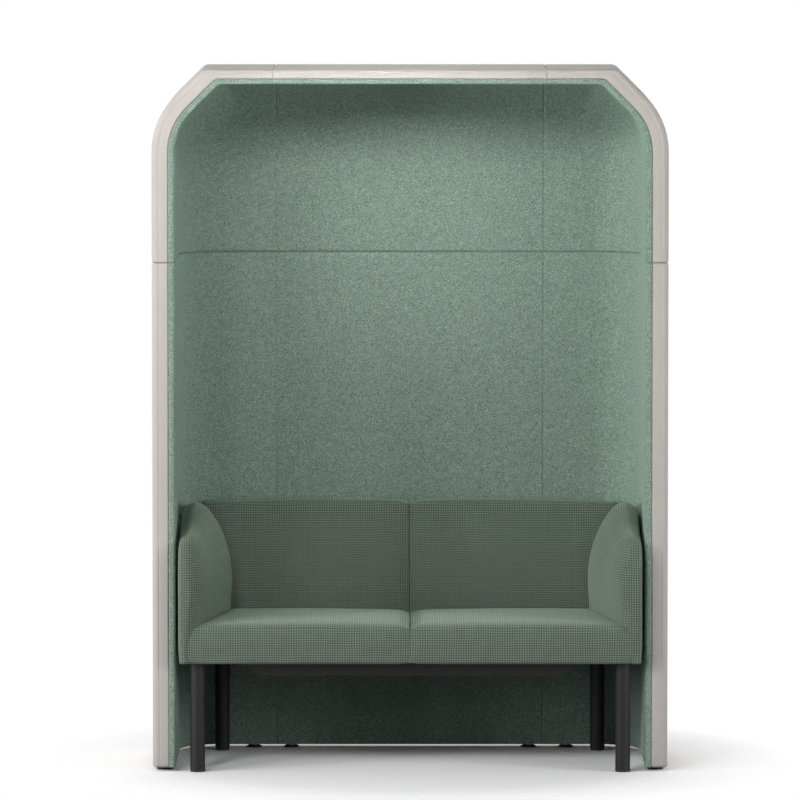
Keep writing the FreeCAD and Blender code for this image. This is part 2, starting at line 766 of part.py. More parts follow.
for tag, spot in leg_spots.items():
    node(turned_body(f"leg_{tag}", leg_profile, spot), f"leg_{tag}")
    glides.append(turned_body(f"glide_{tag}", glide_profile, spot))
    studs.append(rod(f"stud_{tag}", "stud_diameter", "stud_length", spot + (f"{FRAME_BOTTOM} - leg_cap",)))
    nuts.append(turned_body(f"tee_nut_{tag}", nut_profile, spot))
    frame_holes.append(rod(f"stud_hole_{tag}", "stud_diameter", "frame_height", spot + (FRAME_BOTTOM,)))
    frame_holes.append(rod(f"nut_hole_{tag}", "tee_nut_diameter", "tee_nut_length", spot + (nut_bottom,)))
    leg_clearances.append(
        rod(
            f"leg_clearance_{tag}", "leg_diameter + 2 * board_gap", "dust_cover_thickness",
            spot + (f"{FRAME_BOTTOM} - dust_cover_thickness",),
        )
    )
for label, items in {"leg_glides": glides, "leg_studs": studs, "leg_tee_nuts": nuts}.items():
    node(group(label, items), label)

# Under-seat beam with slanted ends, screwed to the front rail of the seat frame from below
cover_bottom = f"({FRAME_BOTTOM} - dust_cover_thickness)"
beam_bottom = f"({cover_bottom} - beam_height)"
beam_front = f"({SOFA_FRONT} + beam_setback)"
beam_corners = [
    ("-beam_bottom_length / 2", beam_bottom), ("beam_bottom_length / 2", beam_bottom),
    ("beam_top_length / 2", cover_bottom), ("-beam_top_length / 2", cover_bottom),
]
beam_back = f"({beam_front} + beam_width)"
beam_blank = padded_body("beam_blank", "XZ_Plane", beam_corners, {}, beam_front, beam_back)[0]
beam_screws = []
for side, sign in SIDES.items():
    spot = (f"{sign}beam_screw_spread / 2", f"{beam_front} + beam_width / 2")
    shank = rod(f"beam_shank_{side}", "beam_screw_diameter", "beam_screw_length", spot + (beam_bottom,))
    head = rod(f"beam_head_{side}", "screw_head_diameter", "screw_head_height", spot + (beam_bottom,))
    screw = doc.addObject("Part::Fuse", f"beam_screw_{side}")
    screw.Base = head
    screw.Tool = shank
    beam_screws.append(screw)
screw_group = node(group("beam_screws", beam_screws), "beam_screws")
node(cut("under_seat_beam", beam_blank, screw_group), "under_seat_beam")

# Seat frame: a board frame with two windows under the webbing, and its cloth below
window_y = (
    f"{SOFA_FRONT} + frame_inset + frame_front_rail",
    f"{SOFA_REAR} - frame_inset - frame_rear_rail",
)
window_x = {
    "left": (f"-{SOFA_HALF} + frame_side_rail", "-frame_centre_rail / 2"),
    "right": ("frame_centre_rail / 2", f"{SOFA_HALF} - frame_side_rail"),
}
windows = [box(f"window_{side}", across, window_y, (BELOW, ABOVE)) for side, across in window_x.items()]
frame_blank = sofa_plan("frame_blank", "frame_inset", FRAME_BOTTOM, FRAME_TOP)
frame_openings = group("frame_openings", windows + frame_holes + [screw_group])
node(cut("seat_frame", frame_blank, frame_openings), "seat_frame")

cover_sheet = sofa_plan("cover_sheet", "(frame_inset + dust_cover_inset)", cover_bottom, FRAME_BOTTOM)
cover_openings = group("cover_openings", leg_clearances + [screw_group])
node(cut("dust_cover", cover_sheet, cover_openings), "dust_cover")

strap_y = (f"{window_y[0]} - strap_lap", f"{window_y[1]} + strap_lap")
strap_z = (FRAME_TOP, f"{FRAME_TOP} + strap_thickness")
STRAPS_PER_SIDE = 5
straps = []
for side, sign in SIDES.items():
    for index in range(STRAPS_PER_SIDE):
        middle = f"({sign}(frame_centre_rail / 2 + (0.5 + {index}) * strap_pitch))"
        across = (f"{middle} - strap_width / 2", f"{middle} + strap_width / 2")
        straps.append(box(f"strap_{side}_{index}", across, strap_y, strap_z))
node(group("seat_webbing", straps), "seat_webbing")

# Back board on the rear rail, and the panel that closes the sofa's back
board_half = f"({SOFA_HALF} - arm_rear_width - board_arm_gap)"
board_x = (f"-{board_half}", board_half)
board_top = f"{BOARD_TOP} - board_gap"
board_blank = box("board_blank", board_x, (BOARD_FRONT, PANEL_FRONT), (FRAME_TOP, board_top))
node(cut("back_board", board_blank, tie_holes), "back_board")
panel_blank = box("panel_blank", board_x, (PANEL_FRONT, SOFA_REAR), ("seat_underside", board_top))
node(cut("rear_panel", panel_blank, tie_holes), "rear_panel")

doc.recompute()
for item in doc.Objects:
    if "Invalid" in item.State or "Error" in item.State:
        raise RuntimeError(f"{item.Name} failed: {item.State}")
for item in nodes:
    if item.Shape.isNull() or not item.Shape.isValid() or not item.Shape.Solids:
        raise RuntimeError(f"{item.Label} has no valid solid")

os.makedirs("parts", exist_ok=True)
for item in nodes:
    item.Shape.exportStep(f"parts/{item.Label}.step")
    print(f"{item.Label}: {len(item.Shape.Solids)} solids, {item.Shape.Volume / 1000:.1f} cm3")
print(len(nodes), "nodes")
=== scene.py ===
# %% [markdown]
# # Acoustic booth bench
# A booth of six upholstered wall modules stands around a two-seat sofa on round legs.
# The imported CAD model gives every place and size, so it is loaded first and kept as the frame.
# The upholstery is then rebuilt piece by piece, because cloth over foam has soft edges,
# while the CAD model leaves its edges plain.

# %% Load the frame
import json
import math
from collections import Counter

import bmesh
import bpy
import numpy as np
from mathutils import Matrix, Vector


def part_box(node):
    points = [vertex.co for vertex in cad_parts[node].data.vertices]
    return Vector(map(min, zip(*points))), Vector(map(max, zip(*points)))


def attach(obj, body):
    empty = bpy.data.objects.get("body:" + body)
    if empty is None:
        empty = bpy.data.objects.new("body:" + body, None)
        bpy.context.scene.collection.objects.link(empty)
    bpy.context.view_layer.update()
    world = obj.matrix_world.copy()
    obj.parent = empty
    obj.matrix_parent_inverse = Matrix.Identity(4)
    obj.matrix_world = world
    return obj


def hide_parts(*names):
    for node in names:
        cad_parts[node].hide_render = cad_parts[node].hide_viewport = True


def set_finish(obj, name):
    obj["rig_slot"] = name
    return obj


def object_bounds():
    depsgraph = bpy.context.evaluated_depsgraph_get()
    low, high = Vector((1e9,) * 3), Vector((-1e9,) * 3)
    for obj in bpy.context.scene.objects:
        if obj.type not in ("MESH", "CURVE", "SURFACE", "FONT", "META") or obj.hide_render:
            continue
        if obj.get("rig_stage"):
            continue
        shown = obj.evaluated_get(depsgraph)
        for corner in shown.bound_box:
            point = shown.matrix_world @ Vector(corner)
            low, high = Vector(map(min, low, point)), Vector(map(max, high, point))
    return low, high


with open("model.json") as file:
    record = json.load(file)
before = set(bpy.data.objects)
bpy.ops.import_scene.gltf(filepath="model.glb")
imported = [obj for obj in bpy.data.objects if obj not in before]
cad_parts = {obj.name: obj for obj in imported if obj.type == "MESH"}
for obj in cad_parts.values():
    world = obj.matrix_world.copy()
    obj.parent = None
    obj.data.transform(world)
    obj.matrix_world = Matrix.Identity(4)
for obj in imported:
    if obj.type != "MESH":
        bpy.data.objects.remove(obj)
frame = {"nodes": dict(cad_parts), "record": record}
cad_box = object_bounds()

print("CAD box:", [round(v, 3) for corner in cad_box for v in corner], "with", len(frame["nodes"]), "nodes")

# %% [markdown]
# ## Sizes of the wall
# Most sizes can be read off the frame's boxes, so they follow the CAD if it changes.
# A box can't show a radius, an angle or the thickness of the roof: those few are written here as in the CAD.

# %% Read the wall's sizes off the frame
JOINT_CLEARANCE = 0.00005
lower_low, lower_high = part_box("lower_left_cover")
lining_low, lining_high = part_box("lower_centre_lining")
HALF_WIDTH = -lower_low.x
WALL_FRONT = lower_low.y
WALL_BACK = lower_high.y
FLOOR_GAP = lower_low.z
LOWER_TOP = lower_high.z
HOOD_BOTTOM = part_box("hood_left_cover")[0].z
ROOF_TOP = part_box("hood_centre_cover")[1].z
JOINT = (lining_high.x - lower_high.x) / 2 - JOINT_CLEARANCE
BACK_FACE = lining_low.y
RIM_SPLIT = HALF_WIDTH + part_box("lower_left_lining")[0].x
ROOF_SPLIT = ROOF_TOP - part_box("hood_centre_lining")[1].z
WALL = WALL_BACK - BACK_FACE
ROOF = 0.044
CORNER_RADIUS = 0.145
SHOULDER_RADIUS = 0.237
SHOULDER_WIDTH = 0.149
SHOULDER_ANGLE = math.radians(45)
SIN_SHOULDER = math.sin(SHOULDER_ANGLE)
COS_SHOULDER = math.cos(SHOULDER_ANGLE)
SHOULDER_Z = (
    (SHOULDER_RADIUS - SHOULDER_WIDTH) * math.tan(SHOULDER_ANGLE)
    + ROOF_TOP - SHOULDER_RADIUS / COS_SHOULDER
)
FILLET_START = BACK_FACE - CORNER_RADIUS
print(f"wall {WALL * 1000:.0f} mm thick, seam at {LOWER_TOP:.3f} m, shoulder starts at {SHOULDER_Z:.3f} m")

# %% [markdown]
# ## A closed pad from two skins
# An upholstered panel has a skin that shows, a skin behind it and a strip round the edge.
# A Solidify modifier could make the second skin, but it folds over itself at a tight roll.
# So both skins are given point by point, and this helper closes them into one mesh.

# %% Close two skins into one mesh
WELD = 1e-5


def mm(metres):
    return round(metres * 1000, 2)


def piece_object(name, mesh):
    """A new object in the scene that shows a mesh."""
    piece = bpy.data.objects.new(name, mesh)
    bpy.context.scene.collection.objects.link(piece)
    return piece


def closed_mesh(name, front, back, faces):
    """A front skin and a back skin with the same faces, joined along their open edges."""
    count = len(front)
    sides = Counter()
    for face in faces:
        for start, end in zip(face, face[1:] + face[:1]):
            sides[start, end] += 1
    strip = [(end, start, start + count, end + count) for start, end in sides if (end, start) not in sides]
    rear = [tuple(corner + count for corner in reversed(face)) for face in faces]
    mesh = bpy.data.meshes.new(name)
    mesh.from_pydata([tuple(point) for point in [*front, *back]], [], faces + rear + strip)
    work = bmesh.new()
    work.from_mesh(mesh)
    bmesh.ops.remove_doubles(work, verts=work.verts, dist=WELD)
    bmesh.ops.recalc_face_normals(work, faces=work.faces)
    work.to_mesh(mesh)
    work.free()
    return mesh


print("points closer than", mm(WELD), "mm are welded")


# %% Number the faces of a grid
def grid_faces(rows, columns, index=None):
    """Four-sided faces over a grid; index gives a point's number from its row and column."""
    number = index or (lambda row, column: row * columns + column)
    return [
        (number(r, c), number(r + 1, c), number(r + 1, c + 1), number(r, c + 1))
        for r in range(rows - 1)
        for c in range(columns - 1)
    ]


print("a grid of 3 by 4 points has", len(grid_faces(3, 4)), "faces")

# %% Shade smoothly up to sharp folds
SHARP_ANGLE = math.radians(55)


def smooth(piece):
    """Smooth shading that still breaks at sharp folds."""
    piece.data.shade_smooth()
    piece.data.set_sharp_from_angle(angle=SHARP_ANGLE)
    return piece


print("folds over", round(math.degrees(SHARP_ANGLE)), "degrees stay sharp")

# %% [markdown]
# ## Soft edges
# Where a panel ends, the cloth rolls over the foam and sinks into the joint.
# A Bevel modifier rounds all edges alike, while a real edge starts sinking well before the joint.
# So rows of points close in towards each end, and every row says how deep the cloth has sunk there:
# each end is a list of distances from the joint, in metres, with the sink at that distance.

# %% Space the rows of a panel
PLAIN_END = ((0.0, 0.0),)
JOINT_END = (
    (0.0, 0.0085), (0.0003, 0.0052), (0.0011, 0.0028), (0.0026, 0.0012), (0.0055, 0.0003), (0.010, 0.0),
)
UPRIGHT_END = ((0.0, 0.0032), (0.0003, 0.0017), (0.0012, 0.0007), (0.004, 0.0001), (0.010, 0.0))
HEM_END = ((0.0, 0.0095), (0.0006, 0.0062), (0.0025, 0.0032), (0.0055, 0.0011), (0.010, 0.0))
DEEPEST_SINK = 0.9
TINY = 1e-6


def spaced(start, end, step, first_end, last_end):
    """Places from start to end, close together at the ends, each with its sink."""
    way = 1 if end > start else -1
    head = [(start + way * distance, sink) for distance, sink in first_end]
    tail = [(end - way * distance, sink) for distance, sink in reversed(last_end)]
    span = tail[0][0] - head[-1][0]
    count = max(2, round(abs(span) / step))
    middle = [(head[-1][0] + span * k / count, 0.0) for k in range(1, count)]
    return head + middle + tail


def sunk(front, back, sink):
    """A point of the front skin moved towards the back skin by its sink."""
    toward = Vector(back) - Vector(front)
    return Vector(front) + toward * min(DEEPEST_SINK, sink / max(toward.length, TINY))


print("joint edge rolls over", mm(JOINT_END[-1][0]), "mm; hem over", mm(HEM_END[-1][0]), "mm")

# %% [markdown]
# ## Sections of the lining and the cover
# Cut level through the side wall, each layer is one line: it starts on the front rim, rolls round an edge,
# runs back and turns the corner. A station of the section is a depth (y) and how far it lies in from the
# outside, on the side wall and on the thinner roof. Beside it stands its partner on the hidden back skin.

# %% Draw the lining's section
LINING_ROUND = 0.008
SKIN_GAP = 0.0004
HIDDEN_START = 0.006
HIDDEN_RUN = 0.016
HIDDEN_STEP = 0.001
EDGE_ROLL = ((0.0, 0.0035), (0.0006, 0.0014), (0.0021, 0.0003), (0.0056, 0.0))
SECTION_STEP = 0.03
CORNER_STEPS = 18
EDGE_STEPS = 7


def quarter(steps):
    """Angles of a quarter turn, without its start."""
    return [math.pi / 2 * k / steps for k in range(1, steps + 1)]


def lining_roof(inset):
    """The inset on the roof that goes with an inset on the side wall."""
    share = (inset - RIM_SPLIT) / (WALL - RIM_SPLIT)
    return ROOF_SPLIT + (ROOF - ROOF_SPLIT) * share if share < 1 else ROOF + inset - WALL


def lining_section():
    """Stations (inset, roof inset, y) of the lining's front skin and of its back skin."""
    front = [(RIM_SPLIT + SKIN_GAP + along, WALL_FRONT + drop) for along, drop in EDGE_ROLL]
    front.append((WALL - LINING_ROUND, WALL_FRONT))
    for turn in quarter(EDGE_STEPS):
        inset = WALL - LINING_ROUND * (1 - math.sin(turn))
        front.append((inset, WALL_FRONT + LINING_ROUND * (1 - math.cos(turn))))
    rolled = len(front)
    hidden = RIM_SPLIT + SKIN_GAP
    back = [(hidden, WALL_FRONT + HIDDEN_START + HIDDEN_RUN * k / (rolled - 1)) for k in range(rolled)]
    for y, _ in spaced(front[-1][1], FILLET_START, SECTION_STEP, PLAIN_END, PLAIN_END)[1:]:
        front.append((WALL, y))
        back.append((hidden, max(y, back[-1][1] + HIDDEN_STEP)))
    thickness = WALL - hidden
    for turn in quarter(CORNER_STEPS):
        cosine, sine = math.cos(turn), math.sin(turn)
        front.append((WALL + CORNER_RADIUS * (1 - cosine), FILLET_START + CORNER_RADIUS * sine))
        wide = CORNER_RADIUS + thickness
        back.append((WALL + CORNER_RADIUS - wide * cosine, FILLET_START + wide * sine))
    return [[(inset, lining_roof(inset), y) for inset, y in skin] for skin in (front, back)]


print("the lining's section has", len(lining_section()[0]), "stations")

# %% Draw the cover's section
RIM_ROUND = 0.016
RIM_BACK_RUN = 0.006
WELT_INSET = 0.020
WELT_ROOF = 0.010
WELT_GROOVE = (
    (0.0045, 0.0), (0.0024, 0.0002), (0.0010, 0.0005), (0.0, 0.0009), (-0.0010, 0.0005), (-0.0024, 0.0002),
)
COVER_PAD = 0.0085


def cover_roof(inset, y):
    """On the roof the cover's rim is thinner, so its welt lies nearer to the top."""
    if y > FILLET_START:
        return inset
    if inset < WELT_INSET:
        return inset * WELT_ROOF / WELT_INSET
    return WELT_ROOF + (inset - WELT_INSET) * (ROOF_SPLIT - WELT_ROOF) / (RIM_SPLIT - WELT_INSET)


def cover_section():
    """Stations of the cover, from the rim's split outwards and round to the back."""
    front = [(RIM_SPLIT - SKIN_GAP - along, WALL_FRONT + drop) for along, drop in EDGE_ROLL]
    front.append(((RIM_SPLIT + WELT_INSET) / 2, WALL_FRONT))
    front += [(WELT_INSET + along, WALL_FRONT + drop) for along, drop in WELT_GROOVE]
    back = [(inset, WALL_FRONT + COVER_PAD) for inset, _ in front]
    for turn in [0.0, *quarter(EDGE_STEPS)]:
        front.append((RIM_ROUND * (1 - math.sin(turn)), WALL_FRONT + RIM_ROUND * (1 - math.cos(turn))))
        share = turn / (math.pi / 2)
        hidden = RIM_ROUND - (RIM_ROUND - COVER_PAD) * share
        back.append((hidden, WALL_FRONT + COVER_PAD + RIM_BACK_RUN * share))
    for y, _ in spaced(front[-1][1], FILLET_START, SECTION_STEP, PLAIN_END, PLAIN_END)[1:]:
        front.append((0.0, y))
        back.append((COVER_PAD, y))
    radius = WALL_BACK - FILLET_START
    for turn in quarter(CORNER_STEPS):
        cosine, sine = math.cos(turn), math.sin(turn)
        front.append((radius * (1 - cosine), FILLET_START + radius * sine))
        back.append((radius - (radius - COVER_PAD) * cosine, FILLET_START + (radius - COVER_PAD) * sine))
    return [[(inset, cover_roof(inset, y), y) for inset, y in skin] for skin in (front, back)]


SECTIONS = {"lining": lining_section(), "cover": cover_section()}
print("the cover's section has", len(SECTIONS["cover"][0]), "stations")

# %% [markdown]
# ## Lower modules
# The lower side modules are the section carried straight up, with the back wall's share added at its end.
# The lower centre module is a flat pad between the two upright joints.
# An extruded section would have straight edges; rows of points can sink one by one at the seam and the hem.

# %% Shape the lower side module
PANEL_STEP = 0.045
ENDS = {"lining": JOINT_END, "cover": HEM_END}


def lower_corner(layer):
    """Both skins and the faces of the left side wall, its corner and its share of the back wall."""
    front_section, back_section = SECTIONS[layer]
    corner_x = -(HALF_WIDTH - front_section[-1][0])
    back_columns = spaced(corner_x, -JOINT, PANEL_STEP, PLAIN_END, UPRIGHT_END)[1:]
    rows = spaced(FLOOR_GAP, LOWER_TOP, PANEL_STEP, ENDS[layer], JOINT_END)
    front, back = [], []
    for z, sink in rows:
        for (inset, _, y), (hidden, _, hidden_y) in zip(front_section, back_section):
            behind = Vector((hidden - HALF_WIDTH, hidden_y, z))
            front.append(sunk((inset - HALF_WIDTH, y, z), behind, sink))
            back.append(behind)
        for x, joint_sink in back_columns:
            behind = Vector((x, back_section[-1][2], z))
            front.append(sunk((x, front_section[-1][2], z), behind, math.hypot(sink, joint_sink)))
            back.append(behind)
    columns = len(front_section) + len(back_columns)
    return front, back, grid_faces(len(rows), columns)


print("lower side lining:", len(lower_corner("lining")[0]), "points on each skin")


# %% Shape the lower centre module
def lower_centre(layer):
    """Both skins and the faces of the flat pad in the middle."""
    front_y, back_y = (skin[-1][2] for skin in SECTIONS[layer])
    rows = spaced(FLOOR_GAP, LOWER_TOP, PANEL_STEP, ENDS[layer], JOINT_END)
    columns = spaced(-JOINT, JOINT, PANEL_STEP, UPRIGHT_END, UPRIGHT_END)
    front, back = [], []
    for z, sink in rows:
        for x, joint_sink in columns:
            behind = Vector((x, back_y, z))
            front.append(sunk((x, front_y, z), behind, math.hypot(sink, joint_sink)))
            back.append(behind)
    return front, back, grid_faces(len(rows), len(columns))


print("lower centre lining:", len(lower_centre("lining")[0]), "points on each skin")

# %% [markdown]
# ## Hood modules
# The hood's outline goes up the side, round the shoulder, along the slant and over the roof.
# Its side modules carry the section along that outline: each row is a rule that turns an inset into a place.
# The flat of the back wall is a second grid that shares its border points with the first.
# Bevelling a box would be quicker, but a section that follows the outline keeps rim and welt even all round.

# %% Place points on the hood's outline
BEND_ROUND = 0.012


def on_side(z):
    return lambda inset, roof: (inset - HALF_WIDTH, z)


def on_shoulder(turn):
    def place(inset, roof):
        radius = SHOULDER_RADIUS - inset
        return (SHOULDER_RADIUS - HALF_WIDTH - radius * math.cos(turn), SHOULDER_Z + radius * math.sin(turn))
    return place


def roof_corner(inset, roof):
    """Where the slant meets the flat of the roof."""
    across = HALF_WIDTH - SHOULDER_WIDTH + (roof * COS_SHOULDER - inset) / SIN_SHOULDER
    return Vector((-across, ROOF_TOP - roof))


def on_slant(share):
    def place(inset, roof):
        start = Vector(on_shoulder(SHOULDER_ANGLE)(inset, roof))
        end = roof_corner(inset, roof) - BEND_ROUND * Vector((COS_SHOULDER, SIN_SHOULDER))
        return tuple(start.lerp(end, share))
    return place


def on_bend(share):
    def place(inset, roof):
        corner = roof_corner(inset, roof)
        start = corner - BEND_ROUND * Vector((COS_SHOULDER, SIN_SHOULDER))
        end = corner + Vector((BEND_ROUND, 0))
        return tuple(start.lerp(corner, share).lerp(corner.lerp(end, share), share))
    return place


def on_roof(share, from_joint):
    def place(inset, roof):
        start = on_bend(1.0)(inset, roof)
        if share is None:
            return (-JOINT - from_joint, start[1])
        return (start[0] + (-JOINT - from_joint - start[0]) * share, start[1])
    return place


print(f"the slant meets the roof {-roof_corner(0.0, 0.0).x:.3f} m from the middle")

# %% Shape the hood's side module
HOOD_STEP = 0.03
SHOULDER_STEPS = 14
SLANT_STEPS = 5
BEND_STEPS = 4
ROOF_STEPS = 8
JOINT_REACH = UPRIGHT_END[-1][0]
roof_columns = [(k / ROOF_STEPS, JOINT_REACH, 0.0) for k in range(1, ROOF_STEPS + 1)]
roof_columns += [(None, distance, sink) for distance, sink in reversed(UPRIGHT_END[:-1])]


def hood_rows():
    """A rule and a sink for each row from the seam to the roof's joint, and the number of the bend's row."""
    side = spaced(HOOD_BOTTOM, SHOULDER_Z, HOOD_STEP, JOINT_END, PLAIN_END)
    rows = [(on_side(z), sink) for z, sink in side]
    rows += [(on_shoulder(SHOULDER_ANGLE * k / SHOULDER_STEPS), 0.0) for k in range(1, SHOULDER_STEPS + 1)]
    rows += [(on_slant(k / SLANT_STEPS), 0.0) for k in range(1, SLANT_STEPS + 1)]
    rows += [(on_bend(k / BEND_STEPS), 0.0) for k in range(1, BEND_STEPS + 1)]
    bend_row = len(rows) - 1
    rows += [(on_roof(share, distance), sink) for share, distance, sink in roof_columns]
    return rows, bend_row


def hood_corner(layer):
    """Both skins and the faces of the hood's left module."""
    front_section, back_section = SECTIONS[layer]
    rows, bend_row = hood_rows()
    width = len(front_section)
    front, back = [], []
    for place, sink in rows:
        for (inset, roof, y), (hidden, hidden_roof, hidden_y) in zip(front_section, back_section):
            x, z = place(inset, roof)
            behind_x, behind_z = place(hidden, hidden_roof)
            behind = Vector((behind_x, hidden_y, behind_z))
            front.append(sunk((x, y, z), behind, sink))
            back.append(behind)
    faces = grid_faces(len(rows), width)
    numbers = {}
    inset, roof, y = front_section[-1]
    hidden_y = back_section[-1][2]
    for row in range(bend_row + 1):
        place, sink = rows[row]
        start_x, z = place(inset, roof)
        numbers[row, 0] = row * width + width - 1
        for column, (share, distance, joint_sink) in enumerate(roof_columns, 1):
            if row == bend_row:
                numbers[row, column] = (bend_row + column) * width + width - 1
                continue
            joint_x = -JOINT - distance
            x = joint_x if share is None else start_x + (joint_x - start_x) * share
            behind = Vector((x, hidden_y, z))
            numbers[row, column] = len(front)
            front.append(sunk((x, y, z), behind, math.hypot(sink, joint_sink)))
            back.append(behind)
    faces += grid_faces(bend_row + 1, len(roof_columns) + 1, lambda row, column: numbers[row, column])
    return front, back, faces


print("hood side lining:", len(hood_corner("lining")[0]), "points on each skin")


# %% Shape the hood's centre module
def hood_centre(layer):
    """Both skins and the faces of the hood's middle: from the roof's rim back and down the wall."""
    front_section, back_section = SECTIONS[layer]
    columns = spaced(-JOINT, JOINT, PANEL_STEP, UPRIGHT_END, UPRIGHT_END)
    wall_top = ROOF_TOP - front_section[-1][1]
    wall_rows = spaced(wall_top, HOOD_BOTTOM, PANEL_STEP, PLAIN_END, JOINT_END)[1:]
    line = [((y, ROOF_TOP - roof), 0.0) for _, roof, y in front_section]
    line += [((front_section[-1][2], z), sink) for z, sink in wall_rows]
    hidden_line = [(y, ROOF_TOP - roof) for _, roof, y in back_section]
    hidden_line += [(back_section[-1][2], z) for z, _ in wall_rows]
    front, back = [], []
    for x, joint_sink in columns:
        for ((y, z), sink), (behind_y, behind_z) in zip(line, hidden_line):
            behind = Vector((x, behind_y, behind_z))
            front.append(sunk((x, y, z), behind, math.hypot(sink, joint_sink)))
            back.append(behind)
    return front, back, grid_faces(len(columns), len(line))


print("hood centre lining:", len(hood_centre("lining")[0]), "points on each skin")

# %% [markdown]
# ## Wall pads
# The right-hand modules mirror the left-hand ones. A Mirror modifier would keep both halves in one object,
# but each module is a piece of its own, so the mesh is copied and turned over.
# Every pad rides on the booth and stands in for the CAD solid of its name.

# %% Make the wall pads
MODULES = {
    "lower_left": lower_corner,
    "lower_centre": lower_centre,
    "hood_left": hood_corner,
    "hood_centre": hood_centre,
}


def mirrored_mesh(mesh, name):
    """The right-hand twin of a left-hand mesh."""
    twin = mesh.copy()
    twin.name = name
    work = bmesh.new()
    work.from_mesh(twin)
    bmesh.ops.scale(work, vec=(-1, 1, 1), verts=work.verts)
    bmesh.ops.reverse_faces(work, faces=work.faces)
    work.to_mesh(twin)
    work.free()
    return twin


wall_pieces = {}
for module, build in MODULES.items():
    for layer in SECTIONS:
        name = f"{module}_{layer}"
        wall_pieces[name] = piece_object(f"{name}_upholstery", closed_mesh(name, *build(layer)))
        if module.endswith("left"):
            twin = name.replace("left", "right")
            mesh = mirrored_mesh(wall_pieces[name].data, twin)
            wall_pieces[twin] = piece_object(f"{twin}_upholstery", mesh)
for name, piece in wall_pieces.items():
    smooth(piece)
    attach(piece, "booth")
    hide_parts(name)
    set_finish(piece, "lining_felt" if name.endswith("lining") else "outer_fabric")
print(len(wall_pieces), "wall pads,", sum(len(p.data.polygons) for p in wall_pieces.values()), "faces")

# %% [markdown]
# ## Sofa cushions by cloth simulation
# Each half of the sofa is foam under a tight cover. The CAD solid has its size, crown and bulge,
# but hard edges. A Bevel modifier would round them evenly, which looks like plastic. So the solid is filled
# where the frame sits, remeshed into even squares, made a little smaller and blown up as cloth with pressure.
# A cap on the movement keeps it in its place between its neighbours.

# %% Fill the frame's room in a soft solid
FRAME_ROOM = 0.0003
FILLER_LAP = 0.006
SAME_LEVEL = 0.001
FLAT = 0.9
SEAT_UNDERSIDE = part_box("seat_cushion_left")[0].z
FRAME_SPACE_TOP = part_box("seat_webbing")[1].z + FRAME_ROOM


def world_mesh(node):
    """A welded copy of a CAD node's mesh for editing."""
    work = bmesh.new()
    work.from_mesh(frame["nodes"][node].data)
    bmesh.ops.remove_doubles(work, verts=work.verts, dist=WELD)
    work.normal_update()
    return work


def filled_copy(node, name):
    """A copy of a soft CAD solid with the room for the seat frame filled in."""
    work = world_mesh(node)
    ceiling = [
        face for face in work.faces
        if face.normal.z < -FLAT and abs(face.calc_center_median().z - FRAME_SPACE_TOP) < SAME_LEVEL
    ]
    spots = sorted({corner for face in ceiling for corner in face.verts}, key=lambda corner: corner.index)
    number = {corner: k for k, corner in enumerate(spots)}
    faces = [tuple(number[corner] for corner in face.verts) for face in ceiling]
    if faces:
        top = [corner.co + Vector((0, 0, FILLER_LAP)) for corner in spots]
        bottom = [Vector((corner.co.x, corner.co.y, SEAT_UNDERSIDE)) for corner in spots]
        filler = closed_mesh(name + "_filler", top, bottom, faces)
        work.from_mesh(filler)
        bpy.data.meshes.remove(filler)
    mesh = bpy.data.meshes.new(name)
    work.to_mesh(mesh)
    work.free()
    return piece_object(name, mesh)


print(f"the frame's room reaches from {SEAT_UNDERSIDE:.4f} to {FRAME_SPACE_TOP:.4f} m")

# %% Remesh a soft solid
SOFT_NODES = {"seat_cushion": 0.0065, "back_cushion": 0.0065, "arm_pad": 0.006}


def applied(piece):
    """Turns a piece's modifiers into plain mesh."""
    graph = bpy.context.evaluated_depsgraph_get()
    result = bpy.data.meshes.new_from_object(piece.evaluated_get(graph))
    piece.modifiers.clear()
    piece.data = result
    return piece


def remeshed(piece, voxel):
    even = piece.modifiers.new("even squares", "REMESH")
    even.mode = "VOXEL"
    even.voxel_size = voxel
    return applied(piece)


print("squares, mm:", {kind: mm(voxel) for kind, voxel in SOFT_NODES.items()})


# %% Read and set a mesh's points
def vertex_values(mesh, key):
    flat = np.empty(len(mesh.vertices) * 3, np.float32)
    mesh.vertices.foreach_get(key, flat)
    return flat.reshape(-1, 3).astype(float)


def points_of(mesh):
    return vertex_values(mesh, "co")


def normals_of(mesh):
    return vertex_values(mesh, "normal")


def set_points(mesh, points):
    mesh.vertices.foreach_set("co", points.astype(np.float32).ravel())
    mesh.update()


seat_solid = frame["nodes"]["seat_cushion_left"].data
print("the seat cushion's CAD mesh has", len(points_of(seat_solid)), "points")

# %% [markdown]
# ## Blowing up the cover
# Pressure pushes the cloth out until its own tension stops it, which rounds the edges and crowns the faces.
# Sculpting could do the same by hand, but not evenly on every cushion. Gravity is off, because foam carries
# the cloth. Twenty frames are enough for it to settle.

# %% Simulate the covers
PRESSURE = 4.0
SIM_FRAMES = 20
SHRINK = 0.003
CAP = 0.003
STAPLE_BAND = 0.02
EASE_PASSES = 3


